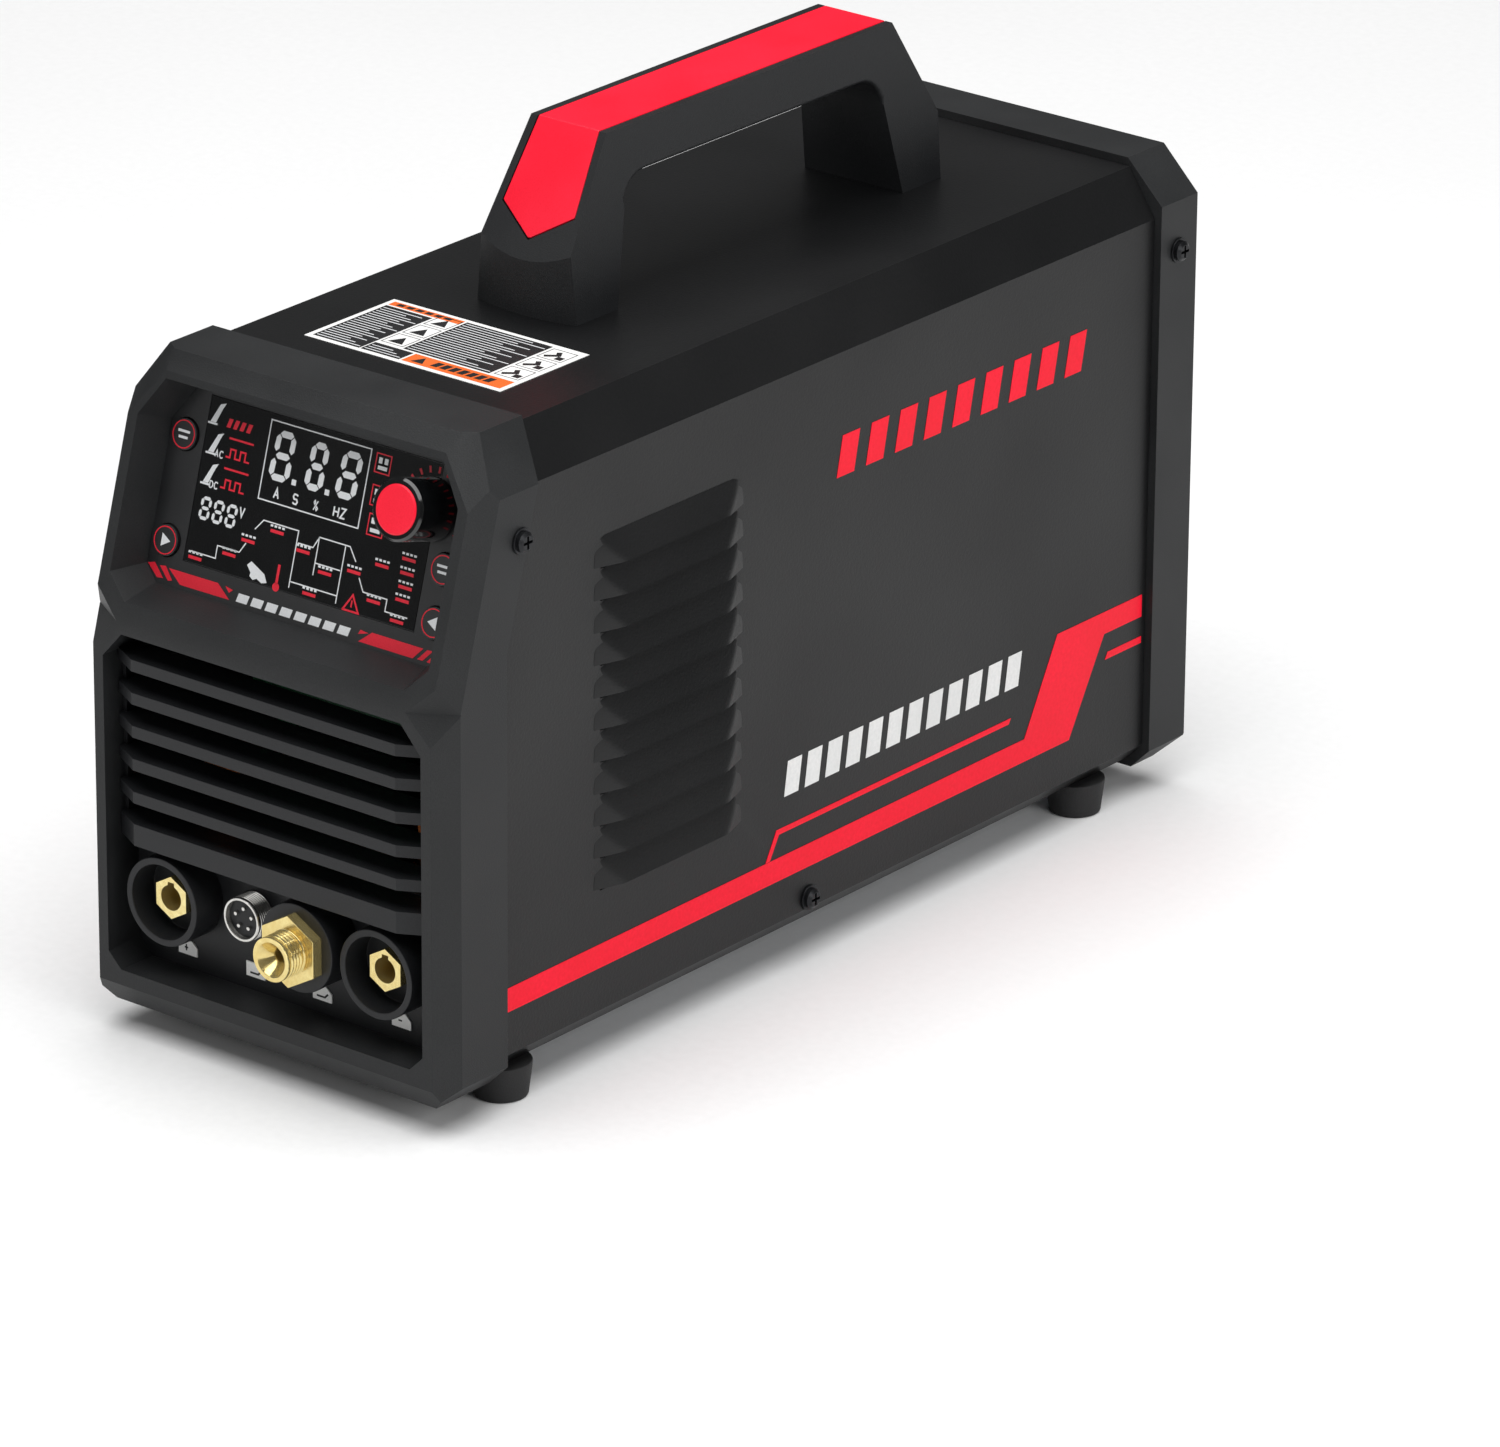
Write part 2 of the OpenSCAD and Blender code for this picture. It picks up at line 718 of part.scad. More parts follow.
module fan_rotor() {
    y0 = fan_y0 + 4;
    blades = 7;
    blade_r = 54.5;
    color("#2a2b2e") place() {
        difference() {
            rod_y(20, y0, y0 + 18.5, 0, fan_z);
            rod_y(16, y0 - 1, y0 + 15, 0, fan_z);
        }
        rod_y(2, fan_y0 + 2, y0 + 16, 0, fan_z);
        intersection() {
            rod_y(blade_r, y0, y0 + 18, 0, fan_z);
            for (i = [0 : blades - 1]) translate([0, y0 + 9, fan_z]) rotate([0, i * 360 / blades, 0]) rotate([38, 0, 0])
                translate([18, -0.9, -13]) cube([40, 1.8, 26]);
        }
    }
}

module switch_housing() {
    rim = 1.8;
    color("#17181a") place() difference() {
        union() {
            translate([switch_x - 10.8, 388, low_z - 13.8]) cube([21.6, rear_panel_y + 2.2 - 388, 27.6]);
            translate([switch_x - 13, rear_panel_y + 2.1, low_z - 16]) cube([26, rim, 32]);
        }
        translate([switch_x - 7.6, pivot_y, low_z]) rotate([0, 90, 0]) cylinder(h = 15.2, r = 12.1);
        translate([switch_x - 9, pivot_y, low_z]) rotate([0, 90, 0]) cylinder(h = 18, r = 1.5 + running);
    }
}

module switch_rocker() {
    rest = -12;
    crown = 5.6;
    color("#0f1011") place() translate([switch_x, pivot_y, low_z]) rotate([rest, 0, 0]) {
        difference() {
            translate([-7.2, 0, 0]) rotate([0, 90, 0]) cylinder(h = 14.4, r = 11.6);
            intersection() {
                beyond([0, crown, 0], [0, 1, -tan(12)], 60);
                beyond([0, crown, 0], [0, 1, tan(12)], 60);
            }
            beyond([0, -5, 0], [0, -1, 0], 60);
        }
        translate([-8.6, 0, 0]) rotate([0, 90, 0]) cylinder(h = 17.2, r = 1.5);
    }
}

module mains_gland() {
    color("#1a1b1d") place() difference() {
        union() {
            rod_y(9, 392, rear_panel_y + 3, gland_x, low_z);
            hex_y(24, rear_panel_y + 2.1, rear_panel_y + 7, gland_x, low_z);
            rod_y(10.5, rear_panel_y + 7 - eps, rear_panel_y + 13, gland_x, low_z);
            translate([gland_x, rear_panel_y + 13 - eps, low_z]) rotate([-90, 0, 0]) cylinder(h = 4, r1 = 10.5, r2 = 8);
            hex_y(24, rear_panel_y - 5, rear_panel_y - 0.1, gland_x, low_z);
        }
        rod_y(5, 380, 430, gland_x, low_z);
    }
}

module gas_inlet() {
    y0 = rear_panel_y + 2.1;
    color("#c79a3c") place() difference() {
        union() {
            rod_y(6, 388, y0 + 1, stud_x, socket_z);
            hex_y(17, y0, y0 + 5, stud_x, socket_z);
            rod_y(4, y0 + 4, barb_end, stud_x, socket_z);
            for (i = [0 : 2]) translate([stud_x, y0 + 7 + i * 3, socket_z]) rotate([-90, 0, 0])
                cylinder(h = 2.6, r1 = 4.7, r2 = 4);
        }
        rod_y(2.2, 380, 440, stud_x, socket_z);
    }
}

// Arc points for a rounded corner.
function arc(c, r, a0, a1, n) = [for (i = [0 : n]) c + r * [cos(a0 + (a1 - a0) * i / n), sin(a0 + (a1 - a0) * i / n)]];

// The grip space under the handle, drawn in Y and Z about the handle's middle.
function grip_space() = concat(
    [[-79, cover_top - 1]],
    arc([-59.5, 264], 12, 172, 90, 6),
    arc([59.5, 264], 12, 90, 8, 6),
    [[79, cover_top - 1]]);

// The handle's outside form, about its own middle.
module handle_solid() {
    hy = handle_length / 2;
    bulge = 73;
    side_n = [handle_top - cover_top, 0, handle_foot_half - handle_top_half];
    difference() {
        translate([-30, -hy - 5, cover_top + 0.05]) cube([60, handle_length + 10, handle_top - cover_top - 0.05]);
        for (end = [0, 1]) mirror([0, end, 0]) {
            difference() {
                translate([-40, -hy - 10, 0]) cube([80, 40, 400]);
                translate([0, -hy + bulge, -1]) cylinder(h = 402, r = bulge, $fn = 128);
            }
            beyond([0, -78.5, handle_top], [0, -25.8, 15.6]);
        }
        for (s = [0, 1]) mirror([s, 0, 0]) beyond([handle_foot_half, 0, cover_top], side_n);
        prism_x(grip_space(), -50, 50);
    }
}

// The handle insert's plates, about the handle's middle: w grows its width, h its upper side.
module insert_form(w, low, high) {
    reach = 78.5 - 0.6;
    top = handle_top;
    slope = atan2(25.8, 15.6);
    translate([-13.4 - w, -reach, top - low]) cube([26.8 + 2 * w, 2 * reach, low + high]);
    for (end = [0, 1]) mirror([0, end, 0]) translate([0, -78.5, top]) rotate([slope - 180, 0, 0])
        translate([0, 0, -high]) linear_extrude(low + high)
            polygon([[-13.4 - w, 1.4], [13.4 + w, 1.4], [15.9 + w, 31 + w], [0, 42 + w], [-15.9 - w, 31 + w]]);
}

module handle_body() {
    color("#2a2b2e") place() translate([0, handle_y, 0]) difference() {
        handle_solid();
        insert_form(0.15, 2.2, 3);
        for (p = handle_bolts) translate([p[0], p[1] - handle_y, cover_top - 1]) cylinder(h = 17, r = 2.55, $fn = 32);
    }
}

module handle_insert() {
    color("#f5253c") place() translate([0, handle_y, 0]) insert_form(0, 2.1, 0.3);
}

module handle_screws() {
    color("#9b9ea2") place() for (p = handle_bolts) translate([p[0], p[1], 0]) {
        translate([0, 0, cover_top - sheet - 3.2]) cylinder(h = 3.1, r = 4.5);
        translate([0, 0, cover_top - sheet - 0.2]) cylinder(h = 15, r = 2.5);
    }
}

module feet() {
    color("#1b1b1c") place() for (p = foot_spots) translate([p[0], p[1], 0]) difference() {
        translate([0, 0, -foot_drop]) cylinder(h = foot_drop + tray_z - 0.02, r1 = 9.4, r2 = 11);
        translate([0, 0, -foot_drop - 1]) cylinder(h = 7, r = 5);
        translate([0, 0, -foot_drop]) cylinder(h = 30, r = 2.6, $fn = 32);
    }
}

module foot_screws() {
    head = -foot_drop + 6.1;
    color("#9b9ea2") place() for (p = foot_spots) translate([p[0], p[1], 0]) {
        translate([0, 0, head - 3]) cylinder(h = 2.9, r = 4.4);
        translate([0, 0, head - 0.2]) cylinder(h = 12, r = 2.5);
    }
}

module case_screws() {
    color("#1d1e20") place() at_case_screws() difference() {
        union() {
            translate([0, 0, 0.95]) cylinder(h = 1.2, r = 3.7);
            translate([0, 0, 2.1]) cylinder(h = 1, r1 = 3.7, r2 = 2.5);
            translate([0, 0, -8]) cylinder(h = 9, r = 2, $fn = 32);
        }
        for (a = [0, 90]) rotate([0, 0, a]) translate([-2.3, -0.5, 1.5]) cube([4.6, 1, 3]);
    }
}

module case_washers() {
    color("#2a2b2d") place() at_case_screws() difference() {
        translate([0, 0, 0.05]) cylinder(h = 0.85, r = 4.6);
        translate([0, 0, -1]) cylinder(h = 3, r = 2.15, $fn = 32);
    }
}

module divider_shelf() {
    w = 66.7;
    color("#8b8f93") place() difference() {
        union() {
            translate([-w, 66, shelf_z]) cube([2 * w, 300, sheet]);
            for (side = [0, 1]) mirror([side, 0, 0]) translate([w - sheet, 80, tray_z + sheet])
                cube([sheet, 272, shelf_z - tray_z - sheet + eps]);
        }
        screw_holes(2.3);
    }
}

module main_board() {
    x = 64;
    color("#1f5a37") place() {
        translate([-x, 76, board_z]) cube([2 * x, 282, board_t]);
        for (sx = [-56, 56]) for (sy = [84, 216, 350]) translate([sx, sy, shelf_z + sheet])
            cylinder(h = board_z - shelf_z - sheet + eps, r = 3, $fn = 32);
    }
}

module heat_sinks() {
    fins = 8;
    w = 50;
    color("#b3b6b9") place() for (sx = [-56, 6]) {
        translate([sx, 92, 104]) cube([w, 208, 6]);
        for (i = [0 : fins - 1]) translate([sx + i * (w - 2) / (fins - 1), 92, 109.9]) cube([2, 208, 46]);
        for (sy = [92, 292]) translate([sx, sy, board_z + board_t]) cube([w, 8, 104 - board_z - board_t + eps]);
    }
}

module power_modules() {
    color("#141516") place() for (sx = [-47, 15]) for (i = [0 : 5]) translate([sx, 106 + i * 31, board_z + board_t + 3])
        cube([32, 20, 104 - board_z - board_t - 3]);
}

module capacitors() {
    color("#22345c") place() for (sx = [-46, -15.5, 15.5, 46]) translate([sx, 328, board_z + board_t])
        cylinder(h = 48, r = 14.5);
}

module control_board() {
    color("#1f5a37") place() {
        translate([-60, 64, 96]) cube([120, board_t, 112]);
        for (sx = [-50, 42]) translate([sx, 64 + board_t - eps, shelf_z + sheet]) cube([8, 9, 14]);
        for (sx = [-44, -14, 16]) for (sz = [116, 150, 180]) translate([sx, 65.5, sz]) cube([18, 4, 14]);
    }
}

module transformer_core() {
    color("#3a3b3d") place() translate([-30, 150, tray_z + sheet]) difference() {
        translate([-33, 0, 0.1]) cube([66, 34, 66]);
        for (sx = [-21.5, 8.5]) translate([sx, -1, 12]) cube([13, 36, 42]);
    }
}

module transformer_winding() {
    color("#a5642c") place() translate([-30, 150, tray_z + sheet]) difference() {
        translate([-21.2, -10, 13]) cube([42.4, 54, 40]);
        translate([-8.7, -0.2, 0]) cube([17.4, 34.4, 70]);
    }
}

module output_choke() {
    color("#b0713a") place() translate([-30, 100, tray_z + sheet + 2]) rotate_extrude() translate([22, 17]) circle(r = 12);
    color("#3a3b3d") place() translate([-30, 100, tray_z + sheet]) cylinder(h = 36, r = 8);
}

module ignition_coil() {
    color("#2c2d30") place() {
        rod_y(8, 92, 168, 44, 36);
        for (y = [92, 160]) rod_y(21, y, y + 5, 44, 36);
        rod_y(19, 96, 161, 44, 36);
        translate([34, 96, tray_z + sheet]) cube([24, 60, 16]);
    }
}

module gas_valve() {
    color("#70757a") place() difference() {
        union() {
            translate([stud_x - 11, 356, socket_z - 11]) cube([22, 26, 22]);
            translate([stud_x - 13, 358, socket_z + 10.9]) cube([26, 22, 26]);
            rod_y(7, 381, 387.9, stud_x, socket_z);
            rod_y(4.2, 342, 357, stud_x, socket_z);
        }
        rod_y(2.2, 330, 390, stud_x, socket_z);
    }
}

module gas_hose() {
    color("#303338") place() difference() {
        rod_y(6.6, 34, 354, stud_x, socket_z);
        rod_y(4.25, 33, 355, stud_x, socket_z);
    }
}

module bus_bars() {
    color("#b87443") place() {
        for (s = [-1, 1]) difference() {
            union() {
                translate([s * socket_x - 8, 34.1, socket_z - 8]) cube([16, 3, 50]);
                translate([s * socket_x - 8, 34.1, socket_z + 39]) cube([16, 30, 3]);
            }
            rod_y(3, 30, 40, s * socket_x, socket_z);
        }
    }
}

front_bezel();
display_panel();
display_window();
mode_button();
step_button();
left_button();
right_button();
knob_body();
knob_cap();
encoder_shaft();
encoder_base();
display_board();
front_louvre();
socket_panel();
plus_socket_collar();
minus_socket_collar();
plus_socket_insert();
minus_socket_insert();
socket_nuts();
torch_connector_shell();
torch_connector_core();
torch_connector_pins();
torch_connector_nut();
gas_stud_collar();
gas_stud();
socket_labels();
cover();
side_stripes();
top_label();
base_tray();
rear_bezel();
rear_panel();
fan_guard();
fan_screws();
fan_frame();
fan_rotor();
switch_housing();
switch_rocker();
mains_gland();
gas_inlet();
handle_body();
handle_insert();
handle_screws();
feet();
foot_screws();
case_screws();
case_washers();
divider_shelf();
main_board();
heat_sinks();
power_modules();
capacitors();
control_board();
transformer_core();
transformer_winding();
output_choke();
ignition_coil();
gas_valve();
gas_hose();
bus_bars();
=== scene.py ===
"""Tig welding machine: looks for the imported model, in metres, in the CAD's own frame."""

import bpy
import bmesh
import math
from mathutils import Matrix, Vector


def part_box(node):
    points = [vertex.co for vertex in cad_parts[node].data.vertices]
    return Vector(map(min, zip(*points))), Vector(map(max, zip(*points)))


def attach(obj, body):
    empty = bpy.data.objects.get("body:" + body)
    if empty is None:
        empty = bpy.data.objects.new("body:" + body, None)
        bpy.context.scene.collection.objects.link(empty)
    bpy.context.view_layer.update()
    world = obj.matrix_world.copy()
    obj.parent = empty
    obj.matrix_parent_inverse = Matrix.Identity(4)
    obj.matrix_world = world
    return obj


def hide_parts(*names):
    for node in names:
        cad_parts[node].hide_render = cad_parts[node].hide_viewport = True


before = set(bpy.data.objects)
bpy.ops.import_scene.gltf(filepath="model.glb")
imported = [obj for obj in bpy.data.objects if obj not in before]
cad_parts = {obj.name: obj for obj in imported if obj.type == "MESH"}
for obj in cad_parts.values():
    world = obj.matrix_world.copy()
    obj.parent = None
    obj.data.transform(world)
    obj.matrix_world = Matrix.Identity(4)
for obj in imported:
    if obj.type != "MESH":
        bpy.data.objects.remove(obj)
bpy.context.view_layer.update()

MM = 0.001
FRONT_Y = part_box("front_bezel")[0].y
UNDER_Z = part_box("front_bezel")[0].z
LEAN = math.radians(16.3)
SIDE_X = 77.0
COVER_TOP = 229
SOCKET_Z = 43.0
STUD_X = 12.8
PLUG_X = -17.2
HANDLE_Y = 239.5


def at(x, y, z):
    """A point in mm from the case's lower front edge, as metres in the shared frame."""
    return Vector((x * MM, FRONT_Y + y * MM, UNDER_Z + z * MM))


def axes(origin, across, up, out):
    """A matrix that lays a flat drawing in mm on a face of the case."""
    turn = Matrix((across, up, out)).transposed().to_4x4()
    return Matrix.Translation(origin) @ turn @ Matrix.Scale(MM, 4)


SIN, COS = math.sin(LEAN), math.cos(LEAN)
DISPLAY = axes(at(0, 14, 142.6), (1, 0, 0), (0, SIN, COS), (0, -COS, SIN))
RIGHT_SIDE = axes(at(SIDE_X, 0, 0), (0, 1, 0), (0, 0, 1), (1, 0, 0))
LEFT_SIDE = axes(at(-SIDE_X, 0, 0), (0, 1, 0), (0, 0, 1), (-1, 0, 0))
TOP = axes(at(0, 0, COVER_TOP), (1, 0, 0), (0, 1, 0), (0, 0, 1))
FRONT = axes(at(0, 16, 0), (1, 0, 0), (0, 0, 1), (0, -1, 0))


# ---------------------------------------------------------------- materials

def linear(colour):
    """An sRGB hex colour as linear RGBA."""
    parts = [int(colour[i:i + 2], 16) / 255 for i in (1, 3, 5)]
    return tuple(c / 12.92 if c <= 0.04045 else ((c + 0.055) / 1.055) ** 2.4 for c in parts) + (1.0,)


def add(tree, kind, links=(), **settings):
    """Adds a node, sets its sockets and properties, and links its inputs."""
    made = tree.nodes.new(kind)
    for key, value in settings.items():
        socket = made.inputs.get(key.replace("_", " "))
        if hasattr(made, key):
            setattr(made, key, value)
        elif socket is not None:
            socket.default_value = value
    for name, source in links:
        tree.links.new(source, made.inputs[name])
    return made


def surface(name, dark, light, rough, grain, bump, patch=40.0, metallic=0.0, ior=1.46, stretch=(1, 1, 1),
            swing=0.06, coat=0.0, shine=0.5):
    """A shader with grain `grain` mm across, broad patches `patch` mm across and a little uneven gloss."""
    material = bpy.data.materials.new(name)
    material.use_nodes = True
    tree = material.node_tree
    tree.nodes.clear()
    shader = add(tree, "ShaderNodeBsdfPrincipled", Metallic=metallic, IOR=ior)
    shader.inputs["Coat Weight"].default_value = coat
    shader.inputs["Specular IOR Level"].default_value = shine
    shader.inputs["Coat Roughness"].default_value = 0.08
    place = add(tree, "ShaderNodeTexCoord")
    run = add(tree, "ShaderNodeMapping", [("Vector", place.outputs["Object"])])
    run.inputs["Scale"].default_value = stretch
    fine = add(tree, "ShaderNodeTexNoise", [("Vector", run.outputs["Vector"])], Scale=1 / (grain * MM),
               Detail=3.0)
    broad = add(tree, "ShaderNodeTexNoise", [("Vector", place.outputs["Object"])], Scale=1 / (patch * MM),
                Detail=2.0)
    both = add(tree, "ShaderNodeMath", [(0, fine.outputs["Fac"]), (1, broad.outputs["Fac"])],
               operation="MULTIPLY")
    ramp = add(tree, "ShaderNodeValToRGB", [("Fac", both.outputs["Value"])])
    ramp.color_ramp.elements[0].position = 0.1
    ramp.color_ramp.elements[0].color = linear(dark)
    ramp.color_ramp.elements[1].position = 0.42
    ramp.color_ramp.elements[1].color = linear(light)
    gloss = add(tree, "ShaderNodeMapRange", [("Value", broad.outputs["Fac"])])
    limits = (("From Min", 0.3), ("From Max", 0.7), ("To Min", rough - swing), ("To Max", rough + swing))
    for key, value in limits:
        gloss.inputs[key].default_value = value
    relief = add(tree, "ShaderNodeBump", [("Height", fine.outputs["Fac"])], Strength=bump,
                 Distance=grain * MM * 0.4)
    tree.links.new(ramp.outputs["Color"], shader.inputs["Base Color"])
    tree.links.new(gloss.outputs["Result"], shader.inputs["Roughness"])
    tree.links.new(relief.outputs["Normal"], shader.inputs["Normal"])
    out = add(tree, "ShaderNodeOutputMaterial")
    tree.links.new(shader.outputs["BSDF"], out.inputs["Surface"])
    return material


def materials():
    """Every finish on the machine."""
    made = {}
    # Injection-moulded ABS with a fine spark-eroded texture: a soft charcoal sheen, no mirror reflections.
    made["bezel_plastic"] = surface("moulded_abs_textured", "#1f2021", "#292a2b", 0.5, 0.5, 0.35, shine=0.32)
    # The same ABS in a deeper, smoother black, for the front louvre, the socket panel, collars, the connector
    # core, the switch, the mains gland and the fan.
    made["dark_plastic"] = surface("moulded_abs_black", "#191a1c", "#212224", 0.42, 0.6, 0.2, shine=0.34)
    # Hand-grip polyamide: a little rougher than the bezels, with a grain that a palm can feel.
    made["grip_plastic"] = surface("moulded_polyamide_grip", "#1d1e20", "#272829", 0.46, 0.45, 0.4, shine=0.3)
    # Printed polycarbonate overlay: flat black ink under a matt hard coat.
    made["overlay"] = surface("polycarbonate_overlay_matt", "#101113", "#17181a", 0.38, 0.8, 0.08, ior=1.58)
    # Tinted polycarbonate window: polished, almost black, with clear reflections.
    made["gloss_black"] = surface("tinted_polycarbonate_polished", "#050607", "#0a0b0c", 0.12, 2.5, 0.02,
                                  ior=1.58, swing=0.03, coat=0.4)
    # Red ABS, satin moulded: even colour, soft highlight.
    made["red_plastic"] = surface("moulded_abs_red", "#f4102d", "#ff1f3c", 0.36, 0.5, 0.18, shine=0.35)
    # Cast vinyl film: thin red sheet with a smooth semi-gloss face.
    made["red_vinyl"] = surface("cast_vinyl_red", "#f20a28", "#ff1234", 0.36, 1.4, 0.05, shine=0.16)
    # Cast vinyl film in white.
    made["white_vinyl"] = surface("cast_vinyl_white", "#dcdddc", "#ebebea", 0.36, 1.4, 0.05)
    # Screen-printed inks: opaque, slightly dull.
    made["white_ink"] = surface("screen_ink_white", "#d6d8da", "#e9ebec", 0.45, 0.4, 0.05)
    made["red_ink"] = surface("screen_ink_red", "#d4112a", "#e51c36", 0.45, 0.4, 0.05)
    made["grey_ink"] = surface("screen_ink_grey", "#5b5c5e", "#6b6c6e", 0.5, 0.4, 0.05)
    made["orange_ink"] = surface("screen_ink_orange", "#e0631f", "#ef7430", 0.45, 0.4, 0.05)
    made["black_ink"] = surface("screen_ink_black", "#161617", "#202022", 0.45, 0.4, 0.05)
    # Coated label paper: off-white with a faint mottle.
    made["label_paper"] = surface("coated_label_paper", "#e6e6e4", "#f3f3f1", 0.5, 0.7, 0.06)
    # Polyester powder paint on sheet steel: fine orange peel 1 mm across, semi-matt.
    made["cover_paint"] = surface("powder_painted_steel", "#0d0e0f", "#141415", 0.42, 0.9, 0.2, patch=90.0,
                                   shine=0.36)
    # Zinc-plated steel: bluish grey, slightly cloudy spangle.
    made["zinc_steel"] = surface("zinc_plated_steel", "#8e9296", "#b3b7bb", 0.34, 3.0, 0.08, metallic=1.0,
                                 patch=12.0)
    # Bright nickel plate on turned brass.
    made["nickel_plate"] = surface("nickel_plated_brass", "#c4c3bf", "#e6e4df", 0.2, 2.0, 0.004, metallic=0.9)
    # Turned brass: yellow gold with tool lines round the axis, drawn 0.4 mm apart so that they show.
    made["machined_brass"] = surface("turned_brass", "#dcc37c", "#f5e6a6", 0.2, 0.4, 0.008, metallic=0.8,
                                     stretch=(0.2, 1, 0.2))
    # Nitrile rubber: dull black with moulding bloom.
    made["foot_rubber"] = surface("moulded_nitrile_rubber", "#161617", "#202021", 0.72, 0.6, 0.3, ior=1.52)
    # Black oxide on steel: dark, oily sheen.
    made["black_screw"] = surface("black_oxide_steel", "#1b1c1e", "#2c2d30", 0.36, 0.3, 0.15, metallic=0.6)
    # Glass-epoxy board under green solder mask.
    made["circuit_board"] = surface("solder_mask_green", "#123f26", "#1d5a37", 0.35, 1.2, 0.15)
    # Extruded aluminium: pale, drawn lines along its length.
    made["aluminium"] = surface("extruded_aluminium", "#a8abae", "#cfd1d3", 0.32, 0.6, 0.12, metallic=1.0,
                                stretch=(1, 0.05, 1))
    # Shrink sleeve over aluminium cans.
    made["capacitor_sleeve"] = surface("pvc_shrink_sleeve", "#16284c", "#22386a", 0.3, 1.5, 0.08)
    # Sintered ferrite: dark grey, ground faces.
    made["ferrite"] = surface("ground_ferrite", "#2a2b2c", "#3c3d3f", 0.55, 0.5, 0.2)
    # Enamelled copper wire and bare bus bar.
    made["copper"] = surface("enamelled_copper", "#8a4a22", "#bb6f3a", 0.3, 1.0, 0.15, metallic=1.0,
                             stretch=(1, 4, 1))
    # Ground steel shaft.
    made["steel_shaft"] = surface("ground_steel", "#9c9fa3", "#c6c9cc", 0.22, 0.4, 0.05, metallic=1.0)
    # Studio floor: matt white paper.
    made["floor"] = surface("white_paper_sweep", "#f4f4f4", "#f8f8f8", 0.9, 4.0, 0.0, patch=400.0)
    return made


FINISH = materials()


# ---------------------------------------------------------------- modelling helpers

def alone(piece):
    """Selects one piece and nothing else."""
    bpy.ops.object.select_all(action="DESELECT")
    piece.select_set(True)
    bpy.context.view_layer.objects.active = piece


def blank(name):
    """A new empty mesh piece, open in edit mode."""
    piece = bpy.data.objects.new(name, bpy.data.meshes.new(name))
    bpy.context.scene.collection.objects.link(piece)
    alone(piece)
    bpy.ops.object.mode_set(mode="EDIT")
    return piece


def done(piece, finish, body="case", replaced=(), smooth=35):
    """Closes a piece: smooths it, gives it its finish and hangs it on its body."""
    if bpy.context.mode != "OBJECT":
        bpy.ops.object.mode_set(mode="OBJECT")
    alone(piece)
    piece.data.materials.clear()
    piece.data.materials.append(FINISH[finish])
    bpy.ops.object.shade_smooth_by_angle(angle=math.radians(smooth))
    if replaced:
        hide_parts(*replaced)
    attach(piece, body)
    return piece


def outline(points):
    """Adds one flat closed outline to the mesh being edited and leaves it selected."""
    bpy.ops.mesh.select_all(action="DESELECT")
    bpy.ops.mesh.primitive_circle_add(vertices=len(points), radius=1.0, fill_type="NGON")
    mesh = bmesh.from_edit_mesh(bpy.context.object.data)
    corners = [v for v in mesh.verts if v.select]
    for corner, point in zip(corners, points):
        corner.co = (point[0], point[1], 0.0)
    bmesh.update_edit_mesh(bpy.context.object.data)


def printed(name, shapes, lay, finish, lift=0.02, thick=0.08, body="case"):
    """Flat shapes in mm, raised to thin closed plates and laid on a face."""
    piece = blank(name)
    for points in shapes:
        outline(points)
    bpy.ops.mesh.select_all(action="SELECT")
    bpy.ops.mesh.extrude_region_move(TRANSFORM_OT_translate={"value": (0, 0, thick)})
    bpy.ops.mesh.select_all(action="SELECT")
    bpy.ops.mesh.normals_make_consistent(inside=False)
    bpy.ops.object.mode_set(mode="OBJECT")
    piece.data.transform(lay @ Matrix.Translation((0, 0, lift)))
    if lay.determinant() < 0:
        piece.data.flip_normals()
    return done(piece, finish, body)


def box_of(x0, y0, x1, y1):
    return [(x0, y0), (x1, y0), (x1, y1), (x0, y1)]


def slanted(x0, y0, x1, y1, slant):
    return [(x0, y0), (x1, y0), (x1 + slant, y1), (x0 + slant, y1)]


def ring_of(x, y, radius, width, count=40):
    """A round frame as four quarter strips."""
    parts = []
    for quarter in range(4):
        span = [math.tau * (quarter + i / (count // 4)) / 4 for i in range(count // 4 + 1)]
        outer = [(x + radius * math.cos(a), y + radius * math.sin(a)) for a in span]
        bore = radius - width
        inner = [(x + bore * math.cos(a), y + bore * math.sin(a)) for a in reversed(span)]
        parts.append(outer + inner)
    return parts


def frame_of(x0, y0, x1, y1, width):
    """A rectangular frame as four bars."""
    return [box_of(x0, y0, x1, y0 + width), box_of(x0, y1 - width, x1, y1),
            box_of(x0, y0 + width, x0 + width, y1 - width), box_of(x1 - width, y0 + width, x1, y1 - width)]


def stroke(points, width):
    """A line with mitred corners, as one outline."""
    pts = [Vector(p) for p in points]
    left, right = [], []
    for i, point in enumerate(pts):
        before = (point - pts[i - 1]).normalized() if i else (pts[1] - point).normalized()
        after = (pts[i + 1] - point).normalized() if i < len(pts) - 1 else before
        mitre = (before + after).normalized()
        side = Vector((-mitre.y, mitre.x))
        reach = width / 2 / max(0.35, side.dot(Vector((-before.y, before.x))))
        left.append(tuple(point + side * reach))
        right.append(tuple(point - side * reach))
    return left + right[::-1]


